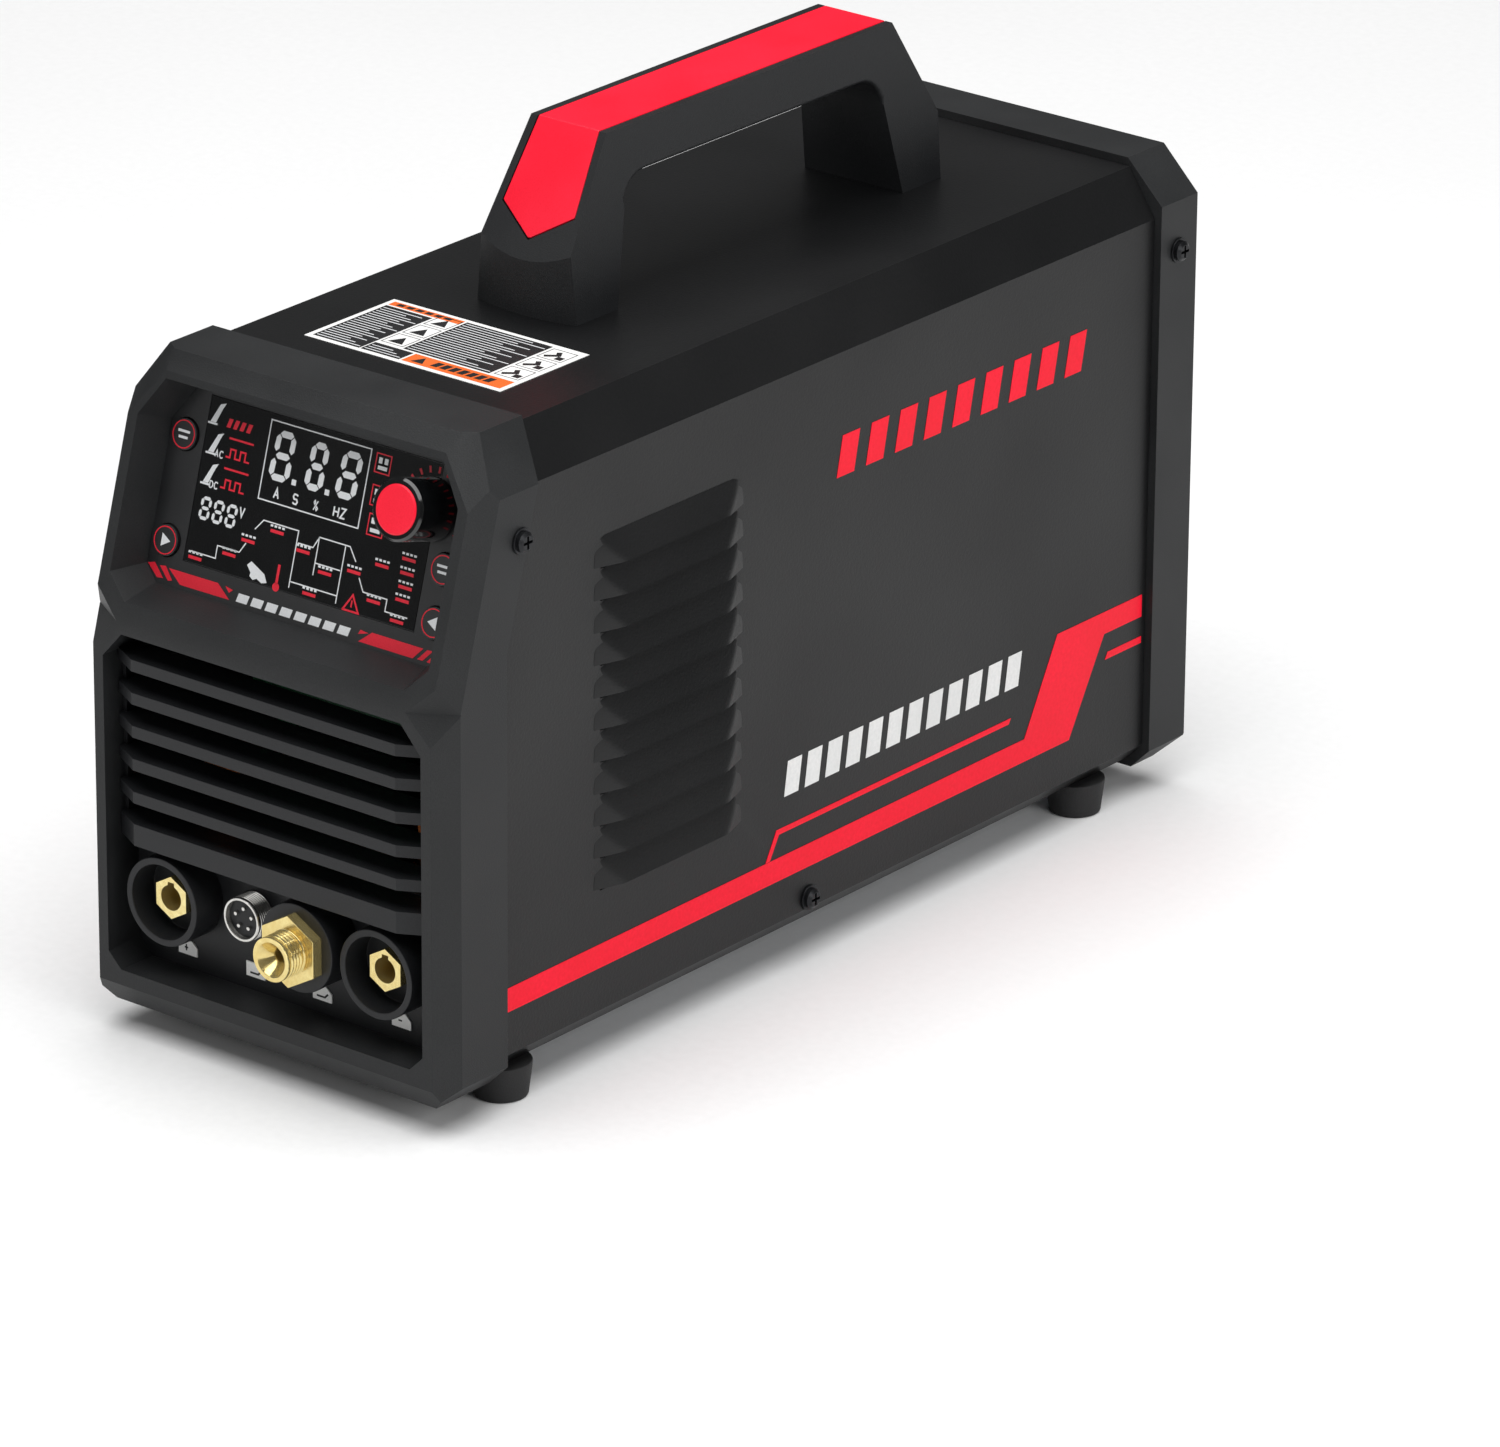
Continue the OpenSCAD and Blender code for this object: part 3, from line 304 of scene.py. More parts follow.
def digit(low_left, low_right, low, high_left, high_right, high, weight):
    """A slanted seven-segment figure eight."""
    w, h = low_right - low_left, high - low
    t = weight / w
    u = weight / h
    gap = 0.03

    def bar(y):
        return [(t * 0.5 + gap, y), (t + gap, y - u / 2), (1 - t - gap, y - u / 2), (1 - t * 0.5 - gap, y),
                (1 - t - gap, y + u / 2), (t + gap, y + u / 2)]

    def post(x, y0, y1):
        g = gap * w / h
        return [(x, y0 + u * 0.5 + g), (x + t / 2, y0 + u + g), (x + t / 2, y1 - u - g),
                (x, y1 - u * 0.5 - g), (x - t / 2, y1 - u - g), (x - t / 2, y0 + u + g)]

    cells = [bar(u / 2), bar(0.5), bar(1 - u / 2)]
    for x in (t / 2, 1 - t / 2):
        cells += [post(x, 0, 0.5 + u * 0.1), post(x, 0.5 - u * 0.1, 1)]
    top_w = high_right - high_left
    spread = []
    for cell in cells:
        spread.append([((low_left + x * w) * (1 - y) + (high_left + x * top_w) * y, low + y * h)
                       for x, y in cell])
    return spread


GLYPHS = {
    "A": [[(0, 0), (0.5, 1), (1, 0)], [(0.2, 0.35), (0.8, 0.35)]],
    "S": [[(0, 0.1), (0.3, 0), (0.8, 0), (1, 0.25), (0.8, 0.5), (0.2, 0.5), (0, 0.75), (0.2, 1), (0.7, 1),
           (1, 0.9)]],
    "H": [[(0, 0), (0, 1)], [(1, 0), (1, 1)], [(0, 0.5), (1, 0.5)]],
    "Z": [[(0, 1), (1, 1), (0, 0), (1, 0)]],
    "V": [[(0, 1), (0.5, 0), (1, 1)]],
    "C": [[(1, 0.85), (0.75, 1), (0.3, 1), (0, 0.7), (0, 0.3), (0.3, 0), (0.75, 0), (1, 0.15)]],
    "D": [[(0, 0), (0, 1), (0.6, 1), (1, 0.7), (1, 0.3), (0.6, 0), (0, 0)]],
    "%": [[(0.1, 0), (0.9, 1)], [(0, 0.8), (0.25, 1), (0.4, 0.8), (0.25, 0.6), (0, 0.8)],
          [(0.6, 0.2), (0.75, 0.4), (1, 0.2), (0.75, 0), (0.6, 0.2)]],
    "+": [[(0.5, 0.1), (0.5, 0.9)], [(0.1, 0.5), (0.9, 0.5)]],
    "-": [[(0.1, 0.5), (0.9, 0.5)]],
}


def unit_mark(text, x, y, height, weight):
    """Plain unit letters, one stroke outline each line."""
    shapes = []
    for letter in text:
        width = height * 0.62
        for line in GLYPHS[letter]:
            shapes.append(stroke([(x + px * width, y + py * height) for px, py in line], weight))
        x += width + height * 0.32
    return shapes


def spun(name, profiles, x, z):
    """Closed outlines of (radius, y) in mm, turned round an axis along Y."""
    piece = blank(name)
    for profile in profiles:
        outline(profile)
    bpy.ops.mesh.select_all(action="SELECT")
    bpy.ops.mesh.delete(type="ONLY_FACE")
    bpy.ops.mesh.select_all(action="SELECT")
    bpy.ops.mesh.spin(steps=64, angle=math.tau, center=(0, 0, 0), axis=(0, 1, 0))
    bpy.ops.mesh.select_all(action="SELECT")
    bpy.ops.mesh.remove_doubles(threshold=0.0005)
    bpy.ops.mesh.normals_make_consistent(inside=False)
    bpy.ops.object.mode_set(mode="OBJECT")
    piece.data.transform(Matrix.Translation(at(x, 0, z)) @ Matrix.Scale(MM, 4))
    return piece


def cut_away(piece, cutter):
    """Cuts one piece out of another and throws the cutter away."""
    alone(piece)
    bite = piece.modifiers.new("cut", "BOOLEAN")
    bite.operation = "DIFFERENCE"
    bite.solver = "EXACT"
    bite.object = cutter
    bpy.ops.object.modifier_apply(modifier=bite.name)
    bpy.data.objects.remove(cutter)
    bpy.ops.object.shade_smooth_by_angle(angle=math.radians(35))


def soften(piece, width):
    """Rounds over every sharp edge."""
    alone(piece)
    bevel = piece.modifiers.new("edges", "BEVEL")
    bevel.width = width * MM
    bevel.segments = 2
    bevel.limit_method = "ANGLE"
    bevel.angle_limit = math.radians(28)
    bevel.use_clamp_overlap = True
    bpy.ops.object.modifier_apply(modifier=bevel.name)


def flatten(piece):
    """Turns the shading of every large face flat, so that only the rounded edges catch the light."""
    alone(piece)
    weighted = piece.modifiers.new("flat_faces", "WEIGHTED_NORMAL")
    weighted.keep_sharp = True
    weighted.weight = 90
    bpy.ops.object.modifier_apply(modifier=weighted.name)


def rounded(node, finish, width, body="case"):
    """A copy of a CAD node with its sharp edges rounded over."""
    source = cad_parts[node]
    piece = bpy.data.objects.new(node + "_finished", source.data.copy())
    bpy.context.scene.collection.objects.link(piece)
    alone(piece)
    bpy.ops.object.mode_set(mode="EDIT")
    bpy.ops.mesh.select_all(action="SELECT")
    bpy.ops.mesh.remove_doubles(threshold=0.000002)
    bpy.ops.mesh.dissolve_limited(angle_limit=math.radians(0.5))
    bpy.ops.object.mode_set(mode="OBJECT")
    if piece.data.has_custom_normals:
        bpy.ops.mesh.customdata_custom_splitnormals_clear()
    if width:
        soften(piece, width)
    done(piece, finish, body, (node,))
    flatten(piece)
    return piece


# ---------------------------------------------------------------- pieces

def case_pieces():
    """The bezels, cover, trays and the other fixed parts that show."""
    table = (
        ("front_bezel", "bezel_plastic", 0.9), ("rear_bezel", "bezel_plastic", 0.9),
        ("cover", "cover_paint", 0.5), ("front_louvre", "dark_plastic", 0.5),
        ("socket_panel", "dark_plastic", 0.3), ("display_panel", "overlay", 0.15),
        ("display_window", "gloss_black", 0.15),
        ("plus_socket_collar", "dark_plastic", 0.5),
        ("minus_socket_collar", "dark_plastic", 0.5), ("gas_stud_collar", "dark_plastic", 0.6),
        ("plus_socket_insert", "machined_brass", 0.35), ("minus_socket_insert", "machined_brass", 0.35),
        ("torch_connector_core", "dark_plastic", 0.2),
        ("torch_connector_pins", "nickel_plate", 0.25), ("rear_panel", "cover_paint", 0.2),
        ("fan_frame", "dark_plastic", 0.4), ("fan_screws", "zinc_steel", 0.3),
        ("switch_housing", "dark_plastic", 0.5), ("mains_gland", "dark_plastic", 0.5),
        ("gas_inlet", "machined_brass", 0.3), ("feet", "foot_rubber", 0.8),
        ("foot_screws", "zinc_steel", 0.4), ("case_screws", "black_screw", 0.25),
        ("case_washers", "black_screw", 0.2), ("base_tray", "zinc_steel", 0.3),
    )
    for node, finish, width in table:
        rounded(node, finish, width)


def insert_strip(name, grow, thickness, offset):
    """The handle's folded strip in mm: pointed at both ends, `grow` wider all round."""
    fold, top = 78.3, 291.25
    fall = (0.5174, 0.8557)
    shoulder = 31
    reach = 41.5 + grow
    stations = [(-fold - reach * fall[0], top - reach * fall[1], 0.5 + grow),
                (-fold - shoulder * fall[0], top - shoulder * fall[1], 15.8 + grow), (-fold, top, 13.3 + grow),
                (fold, top, 13.3 + grow),
                (fold + shoulder * fall[0], top - shoulder * fall[1], 15.8 + grow),
                (fold + reach * fall[0], top - reach * fall[1], 0.5 + grow)]
    strip = blank(name)
    bpy.ops.mesh.primitive_grid_add(x_subdivisions=1, y_subdivisions=5, size=1)
    mesh = bmesh.from_edit_mesh(strip.data)
    for corner in mesh.verts:
        y, z, half = stations[round((corner.co.y + 0.5) * 5)]
        corner.co = at(half if corner.co.x > 0 else -half, HANDLE_Y + y, z)
    bmesh.update_edit_mesh(strip.data)
    bpy.ops.mesh.select_all(action="SELECT")
    bpy.ops.mesh.normals_make_consistent(inside=False)
    bpy.ops.object.mode_set(mode="OBJECT")
    wall = strip.modifiers.new("sheet", "SOLIDIFY")
    wall.thickness = thickness * MM
    wall.offset = offset
    wall.use_even_offset = True
    alone(strip)
    bpy.ops.object.modifier_apply(modifier=wall.name)
    return strip


def handle():
    """The grip with its well-rounded opening, and the red insert as one folded strip let into its top."""
    lowered = 2.5 * MM
    grip = rounded("handle_body", "grip_plastic", 0)
    bpy.ops.object.mode_set(mode="EDIT")
    bpy.ops.mesh.select_all(action="DESELECT")
    mesh = bmesh.from_edit_mesh(grip.data)
    low, high = at(0, HANDLE_Y - 81, 231), at(0, HANDLE_Y + 81, 278)
    for corner in mesh.verts:
        if low.y < corner.co.y < high.y and at(0, 0, 262).z < corner.co.z < high.z:
            corner.co.z -= lowered
    for edge in mesh.edges:
        ends = [v.co for v in edge.verts]
        inside = all(low.y < e.y < high.y and low.z < e.z < high.z and abs(e.x) > 8 * MM for e in ends)
        along = abs(ends[0].x - ends[1].x) < 6 * MM
        sharp = len(edge.link_faces) == 2 and edge.calc_face_angle() > math.radians(40)
        edge.select = inside and along and sharp
    bmesh.update_edit_mesh(grip.data)
    bpy.ops.mesh.bevel(offset=4.5 * MM, segments=5, profile=0.5, clamp_overlap=True)
    bpy.ops.object.mode_set(mode="OBJECT")
    cut_away(grip, insert_strip("pocket", 0.25, 5.0, 0))
    soften(grip, 0.9)
    bpy.ops.object.shade_smooth_by_angle(angle=math.radians(35))
    flatten(grip)
    strip = insert_strip("handle_insert_strip", 0, 2.2, -1)
    soften(strip, 0.5)
    done(strip, "red_plastic", replaced=("handle_insert",))
    flatten(strip)


def moving_pieces():
    """The buttons, the knob, the rocker and the fan."""
    for key in ("mode", "step", "left", "right"):
        rounded(key + "_button", "overlay", 0.35, body=key + "_key")
    rounded("knob_body", "gloss_black", 0.5, body="knob")
    rounded("knob_cap", "red_plastic", 0.35, body="knob")
    rounded("switch_rocker", "dark_plastic", 0.4, body="rocker")
    rounded("fan_rotor", "dark_plastic", 0.3, body="fan")


def inner_finishes():
    """The CAD nodes inside the case keep their shapes and take their real finishes."""
    chosen = {
        "circuit_board": ("display_board", "main_board", "control_board"),
        "zinc_steel": ("divider_shelf", "socket_nuts", "handle_screws", "encoder_base", "gas_valve"),
        "nickel_plate": ("torch_connector_nut",), "steel_shaft": ("encoder_shaft",),
        "aluminium": ("heat_sinks",), "black_ink": ("power_modules",),
        "capacitor_sleeve": ("capacitors",), "ferrite": ("transformer_core", "ignition_coil"),
        "copper": ("transformer_winding", "output_choke", "bus_bars"), "foot_rubber": ("gas_hose",),
        "red_vinyl": ("side_stripes",), "label_paper": ("top_label",),
    }
    for finish, nodes in chosen.items():
        for node in nodes:
            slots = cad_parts[node].material_slots
            for slot in slots:
                slot.material = FINISH[finish]


def threads():
    """The cut threads of the gas stud and of the control connector."""
    stud = rounded("gas_stud", "machined_brass", 0.35)
    pitch, root, outside = 1.45, 7.1, 8.3
    grooves = []
    for i in range(5):
        y = -9.0 + pitch * i
        grooves.append([(outside, y - 0.15), (root, y + 0.3), (root, y + 0.6), (outside, y + 1.05)])
    cut_away(stud, spun("grooves", grooves, STUD_X, SOCKET_Z))
    crest, root, bore = 7.97, 7.4, 6.85
    shell = [(bore, 8.7), (bore + 0.15, 8.42), (7.7, 8.42), (crest, 8.7)]
    for i in range(7):
        y = 9.3 + 0.95 * i
        shell += [(crest, y), (root, y + 0.3), (root, y + 0.45), (crest, y + 0.75)]
    shell += [(crest, 16.5), (7.38, 16.5), (7.38, 27), (bore, 27)]
    piece = spun("torch_connector_shell_threaded", [shell], PLUG_X, SOCKET_Z)
    done(piece, "nickel_plate", replaced=("torch_connector_shell",))


def fan_guard_wires():
    """Round wire rings on four spokes, welded, with an eye at each screw."""
    wire, middle, y = 0.95, 147, 408.0
    eye = 52.5 * math.sqrt(2)
    upright = (math.pi / 2, 0, 0)
    piece = blank("fan_guard_wires")
    for i in range(6):
        bpy.ops.mesh.select_all(action="DESELECT")
        bpy.ops.mesh.primitive_torus_add(major_radius=14 + 8.4 * i, minor_radius=wire, major_segments=64,
                                         minor_segments=8, rotation=upright, location=(0, y, middle))
    for i in range(4):
        angle = math.radians(45 + 90 * i)
        bpy.ops.mesh.select_all(action="DESELECT")
        bpy.ops.mesh.primitive_cylinder_add(
            vertices=12, radius=wire, depth=60, rotation=(0, math.pi / 2 - angle, 0),
            location=(42 * math.cos(angle), y, middle + 42 * math.sin(angle)))
        bpy.ops.mesh.select_all(action="DESELECT")
        bpy.ops.mesh.primitive_torus_add(
            major_radius=3.2, minor_radius=wire, major_segments=32, minor_segments=8, rotation=upright,
            location=(eye * math.cos(angle), y, middle + eye * math.sin(angle)))
    bpy.ops.object.mode_set(mode="OBJECT")
    piece.data.transform(Matrix.Translation(at(0, 0, 0)) @ Matrix.Scale(MM, 4))
    done(piece, "zinc_steel", replaced=("fan_guard",))


def louvre_hood(name):
    """One pressed hood in mm: a face sloping out to its open lower edge, with rounded scoop ends."""
    length, height, rise = 79.3, 10.6, 3.95
    piece = blank(name)
    columns, rows = 48, 12
    bpy.ops.mesh.primitive_grid_add(x_subdivisions=columns, y_subdivisions=rows, size=1)
    mesh = bmesh.from_edit_mesh(piece.data)
    for corner in mesh.verts:
        v = corner.co.y + 0.5
        start = 5.5 * (1 - math.sqrt(max(0.0, 1 - v ** 2.4)))
        # columns crowd towards the ends, where the surface curves
        u = 0.5 - 0.5 * math.cos(math.pi * (corner.co.x + 0.5))
        along = start + (length - 2 * start) * u
        slope = 1 - v
        scoop = min(along - start, length - start - along) / 12.0
        soft = 0.08
        blend = max(0.0, soft - abs(slope - scoop)) / soft
        lift = min(slope, scoop) - blend * blend * soft / 4
        corner.co = (along - 0.4, v * height, rise * max(0.0, lift) + 0.05)
    bmesh.update_edit_mesh(piece.data)
    bpy.ops.mesh.select_all(action="SELECT")
    bpy.ops.mesh.remove_doubles(threshold=0.01)
    bpy.ops.mesh.normals_make_consistent(inside=False)
    bpy.ops.object.mode_set(mode="OBJECT")
    wall = piece.modifiers.new("sheet", "SOLIDIFY")
    wall.thickness = 0.35
    wall.offset = -1
    alone(piece)
    bpy.ops.object.modifier_apply(modifier=wall.name)
    return piece


def side_louvres():
    """Eleven hoods on each side of the cover."""
    for side, lay in (("right", RIGHT_SIDE), ("left", LEFT_SIDE)):
        first = louvre_hood(side + "_side_louvres")
        hoods = [first] + [bpy.data.objects.new("hood", first.data.copy()) for _ in range(10)]
        for i, hood in enumerate(hoods):
            if i:
                bpy.context.scene.collection.objects.link(hood)
            hood.data.transform(lay @ Matrix.Translation((82, 55.4 + 11.66 * i, 0.02)))
            if lay.determinant() < 0:
                hood.data.flip_normals()
        alone(first)
        for hood in hoods:
            hood.select_set(True)
        bpy.ops.object.join()
        done(first, "cover_paint", smooth=40)


def figures():
    """The big figures with their frame and unit letters, and the small ones beside them."""
    white = []
    big = ((-21.6, -12.3, 55.2, -20.2, -11.8, 72.3), (-5.8, 2.3, 55.5, -4.7, 2.9, 72.0),
           (7.5, 16.7, 55.9, 9.0, 17.7, 72.2))
    for low_left, low_right, low, high_left, high_right, high in big:
        white += digit(low_left, low_right, low, high_left, high_right, high, 2.3)
    for i in range(3):
        x = -48 + 5.8 * i
        white += digit(x, x + 4.6, 35.2, x + 0.5, x + 5.1, 43.2, 1.15)
    point = 0.95
    for x, s in ((-9.9, 56.4), (4.7, 56.4)):
        white.append(box_of(x - point, s - point, x + point, s + point))
    white += frame_of(-24, 47.6, 20.5, 75, 0.45)
    for text, x, weight in (("A", -17.4, 0.6), ("S", -9.0, 0.6), ("%", 0.0, 0.4), ("HZ", 9.0, 0.6)):
        white += unit_mark(text, x, 49.5, 3.2, weight)
    white += unit_mark("V", -30.5, 40.0, 3.2, 0.55)
    return white


def weld_cycle():
    """The line of a weld from start to finish, with a lamp and a short bar of small print at each step."""
    white, red = [], []
    for line in (
        [(-48.3, 23.9), (-37.4, 23.9), (-37.4, 28.3), (-27.7, 28.3), (-25.5, 32)],
        [(-22.8, 37.4), (-19.7, 41.2), (-4.2, 41.2), (-4.2, 21.7)],
        [(-3.6, 37.2), (3, 37.2), (5.1, 41.2), (18.5, 41.2), (22, 36.8)],
        [(5.0, 41.2), (5.0, 28.2)], [(5.2, 32.4), (16.1, 32.4)], [(16.6, 40.9), (16.6, 21.3)],
        [(-3.9, 23.9), (16.4, 23.9)],
        [(24.5, 32), (27.2, 27.8), (37.7, 27.8), (37.7, 23.7), (47.4, 23.7)],
    ):
        white.append(stroke(line, 0.42))
    lamps = ((-46.1, 21.9), (-31.9, 26.5), (-24.8, 32.8), (-13.2, 38.6), (-0.9, 34.9), (9.8, 30.0),
             (4.8, 21.6), (21.9, 33.3), (32.2, 25.7), (33.1, 38.1), (43.8, 42.7), (44, 38), (44.3, 33.3),
             (44, 28.9), (43.3, 21.6))
    for x, s in lamps:
        red.append(box_of(x - 2.9, s - 0.55, x + 2.9, s + 0.55))
        white += [box_of(x - 3.2 + 1.7 * i, s + 1.35, x - 2.1 + 1.7 * i, s + 2.1) for i in range(4)]
    return white, red


def current_marks():
    """Stick, alternating and direct current: each a small electrode holder, two with a waveform."""
    white, red = [], []
    for x, s in ((-47.6, 71.9), (-46.4, 61.9), (-46.4, 51.4)):
        white.append([(x - 2.2, s - 3.6), (x + 0.2, s - 3.6), (x + 2.3, s + 1.6), (x + 3.4, s + 3.6),
                      (x + 1.0, s + 2.8)])
        white.append(box_of(x - 3.2, s - 4.4, x + 1.0, s - 3.7))
    white += unit_mark("AC", -45.4, 57.2, 2.2, 0.42) + unit_mark("DC", -45.4, 46.6, 2.2, 0.42)
    for low, bar in ((58.2, 64.6), (47.7, 54.3)):
        x, high = -39.7, low + 2.9
        wave = [(x - 1, low)]
        for i in range(2):
            rise = x + 0.8 + 4.4 * i
            wave += [(rise, low), (rise, high), (rise + 2.2, high), (rise + 2.2, low)]
        red.append(stroke(wave + [(x + 9.4, low)], 0.62))
        red.append(box_of(-40.4, bar - 0.35, -29.6, bar + 0.35))
    red += [slanted(-42.6 + 2.9 * i, 67.9, -40.9 + 2.9 * i, 71.0, 0.9) for i in range(4)]
    return white, red


def small_symbols():
    """The thermometer, the alarm triangle and the torch."""
    red = [stroke([(-9.7, 21.5), (-9.7, 28.3)], 1.1)] + ring_of(-9.7, 20.6, 1.5, 1.45, 16)
    red.append(stroke([(19.9, 20.3), (23.3, 25.8), (26.7, 20.3), (19.6, 20.3)], 0.7))
    red.append(box_of(23.0, 21.6, 23.6, 24.0))
    torch = [(-23.4, 25.0), (-21.8, 26.6), (-15.4, 23.6), (-13.8, 21.0), (-16.0, 20.4), (-18.4, 21.4),
             (-20.0, 20.6), (-21.6, 21.6), (-21.4, 22.8)]
    return [torch], red


def trim_bars():
    """Slanted red bars under the weld cycle."""
    return [
        [(-65.9, 15.8), (-62.9, 16.6), (-58.2, 12.1), (-60.9, 11.8)],
        [(-60.5, 16.0), (-57.9, 16.4), (-54.2, 12.2), (-55.9, 11.7)],
        [(-56.4, 16.0), (-34.4, 16.1), (-28.4, 11.7), (-50.4, 11.6)],
        [(-31.0, 15.9), (-27.5, 15.3), (-29.0, 14.0)],
        [(34.0, 15.6), (56.4, 15.6), (52.6, 11.4), (28.9, 11.4)],
        [(29.0, 15.4), (32.6, 15.0), (28.3, 13.8)],
        [(58.2, 15.6), (60.4, 15.6), (56.9, 11.6), (54.6, 11.6)],
        [(62.2, 15.6), (64.4, 15.6), (60.9, 11.6), (58.6, 11.6)],
    ]


def knob_surround():
    """Three framed marks beside the knob and the dial ticks that fit on the display."""
    white, red = [], []
    for x0, s0, x1, s1 in ((22.6, 67.6, 29.4, 74.4), (23.2, 56.6, 30.6, 63.8), (24.0, 46.7, 31.0, 54.2)):
        red += frame_of(x0, s0, x1, s1, 0.45)
        white.append(box_of(x0 + 1.4, s0 + 1.3, x1 - 1.4, s0 + 2.6))
        white.append(box_of(x0 + 1.4, s1 - 3.4, x0 + 2.9, s1 - 1.4))
        white.append(box_of(x1 - 2.9, s1 - 3.4, x1 - 1.4, s1 - 1.4))
    middle = Vector((49.6, 61.2))
    for i in range(15):
        angle = math.radians(-30 + 17 * i)
        direction = Vector((math.cos(angle), math.sin(angle)))
        if abs(middle.x + direction.x * 13.4) > 66 or middle.y + direction.y * 14 > 77.5:
            continue
        red.append(stroke([tuple(middle + direction * 12.2), tuple(middle + direction * 14.4)], 0.9))
    return white, red


def display_art():
    """All the printing on the display, in white and red ink."""
    white, red = figures(), []
    for more_white, more_red in (weld_cycle(), current_marks(), small_symbols(), ([], trim_bars()),
                                 knob_surround()):
        white += more_white
        red += more_red
    plain = [slanted(-25.5 + 6.4 * i, 11.9, -20.7 + 6.4 * i, 14.9, 0.8) for i in range(8)]
    printed("display_white_print", white, DISPLAY, "white_ink", lift=0.01, thick=0.05)
    printed("display_red_print", red, DISPLAY, "red_ink", lift=0.01, thick=0.05)
    printed("display_plain_bars", plain, DISPLAY, "white_ink", lift=0.01, thick=0.05)


def button_art():
    """A thin red ring and a plain mark on each push button; they move with it."""
    lift, thick = 1.21, 0.06
    spots = (("mode", -59.3, 61.6), ("left", -59.3, 25.0), ("step", 59.3, 43.1), ("right", 59.3, 25.0))
    for key, x, s in spots:
        ring = ring_of(x, s, 4.9, 0.4)
        if key == "left":
            marks = [[(x - 1.5, s - 2.3), (x + 2.4, s), (x - 1.5, s + 2.3)]]
        elif key == "right":
            marks = [[(x + 1.5, s + 2.3), (x - 2.4, s), (x + 1.5, s - 2.3)]]
        else:
            marks = [box_of(x - 2.6, s + 0.6, x + 2.6, s + 1.5), box_of(x - 2.0, s - 1.5, x + 2.0, s - 0.6)]
        printed(key + "_button_ring", ring, DISPLAY, "red_ink", lift, thick, key + "_key")
        printed(key + "_button_mark", marks, DISPLAY, "white_ink", lift, thick, key + "_key")


def side_art():
    """Vinyl bars on both sides of the cover, in place of any name."""
    for side, lay in (("right", RIGHT_SIDE), ("left", LEFT_SIDE)):
        red = [slanted(212 + 16.2 * i, 166.2, 221.6 + 16.2 * i, 181, 3.2) for i in range(9)]
        printed(side + "_red_bars", red, lay, "red_vinyl", lift=0.02, thick=0.12)
        white = [slanted(184.5 + 11.4 * i, 56.6, 192.3 + 11.4 * i, 69.4, 2.0) for i in range(12)]
        printed(side + "_white_bars", white, lay, "white_vinyl", lift=0.02, thick=0.12)


def label_art():
    """The rating label on the cover: orange heads, black panels of pale lines and plain framed marks."""
    base = 0.18
    grey, orange, black, pale, dark = [], [], [], [], []
    margin, line_pitch = 1.2, 1.9
    for x0, y0, x1, y1 in ((-41.2, 75.6, -20.6, 113.6), (-8.8, 84.6, 29.0, 118.0), (-20.0, 75.6, -3.0, 83.4)):
        black.append(box_of(x0, y0, x1, y1))
        for row in range(math.ceil((y1 - y0 - 2 * margin) / line_pitch)):
            y = y0 + margin + line_pitch * row
            pale.append(box_of(x0 + 0.8, y, x1 - 0.8 - (row * 7 % 5) * 0.09 * (x1 - x0), y + 0.5))
    orange += [box_of(-2, 75.6, 41.2, 83.4), box_of(-41.2, 114.6, -9.8, 118.2)]
    for y in (85.5, 96.5, 107.5):
        grey += frame_of(-19.6, y, -9.8, y + 9.6, 0.4) + frame_of(30.2, y, 40.9, y + 9.6, 0.4)
        black += [[(-17.8, y + 1.6), (-11.4, y + 1.6), (-14.6, y + 7.6)]]
        black.append(stroke([(32.0, y + 2.0), (36.0, y + 5.0), (34.4, y + 7.6)], 1.9))
        black.append(box_of(36.6, y + 1.4, 39.6, y + 4.2))
    dark += [[(1.0, 77.0), (6.2, 77.0), (3.6, 82.0)]]
    dark += [slanted(9.0 + 3.8 * i, 77.6, 11.8 + 3.8 * i, 81.6, 0.6) for i in range(7)]
    dark += [slanted(-38.6 + 4.2 * i, 115.4, -35.6 + 4.2 * i, 117.4, 0.4) for i in range(6)]
    printed("label_grey_print", grey, TOP, "grey_ink", lift=base, thick=0.04)
    printed("label_orange_print", orange, TOP, "orange_ink", lift=base, thick=0.04)
    printed("label_black_print", black, TOP, "black_ink", lift=base, thick=0.04)
    printed("label_white_lines", pale, TOP, "white_ink", lift=base + 0.05, thick=0.03)
    printed("label_dark_marks", dark, TOP, "black_ink", lift=base + 0.05, thick=0.03)


def socket_tabs():
    """The pale tabs under the sockets, with plus and minus on the weld sockets."""
    tabs = []
    for x in (-48, PLUG_X, STUD_X, 48):
        tabs.append([(x - 4.2, 19.3), (x + 4.2, 19.3), (x + 4.2, 22.4), (x + 1.8, 24.6), (x - 4.2, 24.6)])
    marks = unit_mark("+", -49.6, 20.4, 3.0, 0.6) + unit_mark("-", 46.6, 20.4, 3.0, 0.6)
    marks += [stroke([(x - 2.4, 20.8), (x + 1.2, 20.8), (x + 2.6, 22.2)], 0.7) for x in (PLUG_X, STUD_X)]
    piece = printed("socket_tab_plates", tabs, FRONT, "label_paper", lift=0.02, thick=0.5)
    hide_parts("socket_labels")
    printed("socket_tab_marks", marks, FRONT, "black_ink", lift=0.53, thick=0.05)


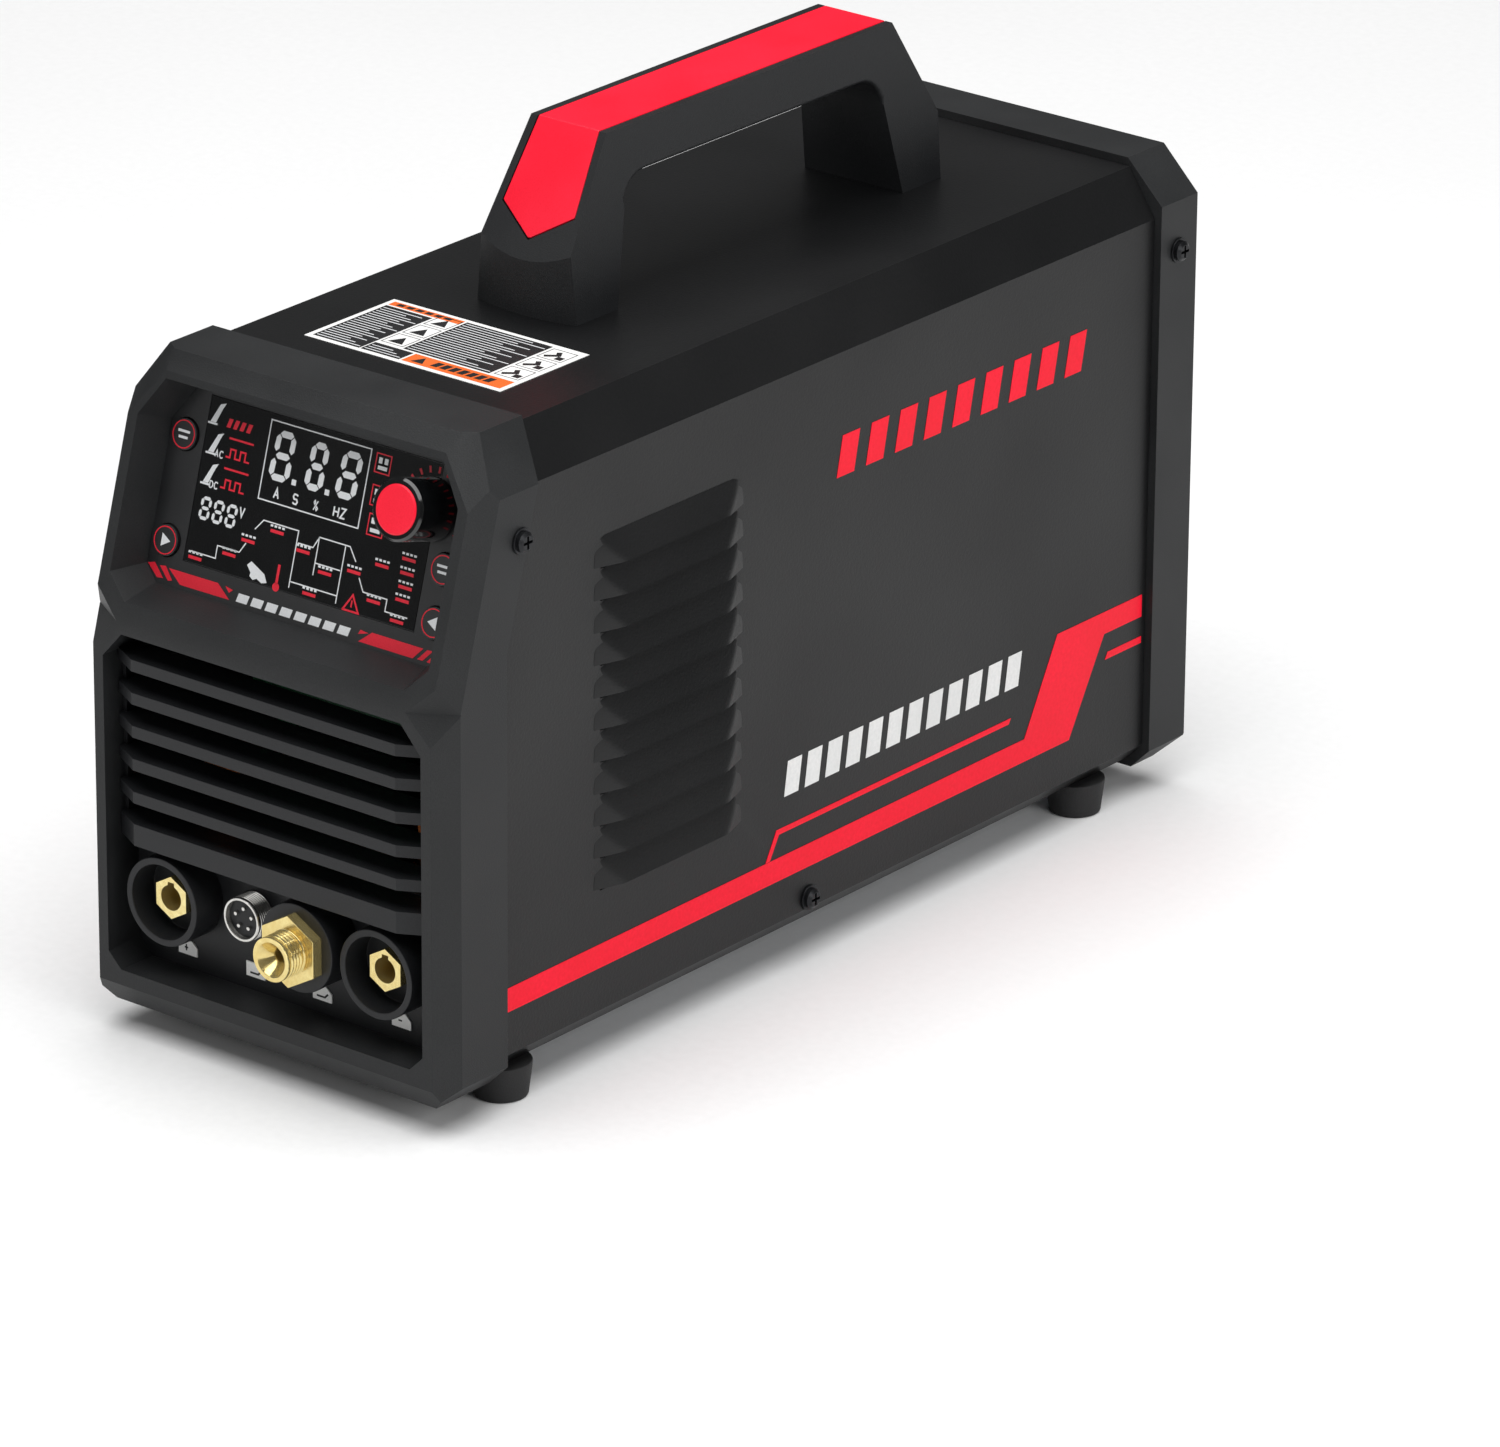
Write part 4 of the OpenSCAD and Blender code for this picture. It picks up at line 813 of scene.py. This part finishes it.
# ---------------------------------------------------------------- scene

def camera():
    """The camera stands off to the front right, a little above the machine."""
    data = bpy.data.cameras.new("camera")
    data.sensor_width = 36
    data.lens = 229.28
    data.clip_end = 100
    data.dof.use_dof = False
    made = bpy.data.objects.new("camera", data)
    bpy.context.scene.collection.objects.link(made)
    right, up, back = (0.77967, 0.62616, 0.00678), (-0.24201, 0.29130, 0.92553), (0.57755, -0.72324, 0.37865)
    turn = Matrix((right, up, back)).transposed().to_4x4()
    made.matrix_world = Matrix.Translation((1.9662, -2.40955, 1.3386)) @ turn
    bpy.context.scene.camera = made


def soft_box(name, place, target, width, height, power):
    """A large soft light aimed at a point."""
    data = bpy.data.lights.new(name, "AREA")
    data.shape = "RECTANGLE"
    data.size = width
    data.size_y = height
    data.energy = power
    made = bpy.data.objects.new(name, data)
    bpy.context.scene.collection.objects.link(made)
    made.location = place
    made.rotation_euler = (Vector(target) - Vector(place)).to_track_quat("-Z", "Y").to_euler()


def studio():
    """A white paper floor under one large soft box, with weaker boxes to the right and in front."""
    world = bpy.data.worlds.new("studio")
    bpy.context.scene.world = world
    world.use_nodes = True
    world.node_tree.nodes["Background"].inputs["Color"].default_value = (1, 1, 1, 1)
    world.node_tree.nodes["Background"].inputs["Strength"].default_value = 0.1
    bpy.context.scene.view_settings.view_transform = "Standard"
    bpy.ops.object.select_all(action="DESELECT")
    bpy.ops.mesh.primitive_plane_add(size=14, location=(0, 0, 0))
    floor = bpy.context.object
    floor.name = "floor"
    floor.data.materials.append(FINISH["floor"])
    soft_box("overhead", (0.2, -0.2, 2.6), (0.2, 0, 0), 3.4, 3.4, 112)
    soft_box("side", (2.3, -0.3, 1.1), (0, 0, 0.12), 1.5, 1.2, 17)
    soft_box("front", (-0.9, -2.3, 1.1), (0, 0, 0.12), 1.4, 1.1, 7)


camera()
studio()
case_pieces()
handle()
moving_pieces()
inner_finishes()
threads()
fan_guard_wires()
side_louvres()
display_art()
button_art()
side_art()
label_art()
socket_tabs()
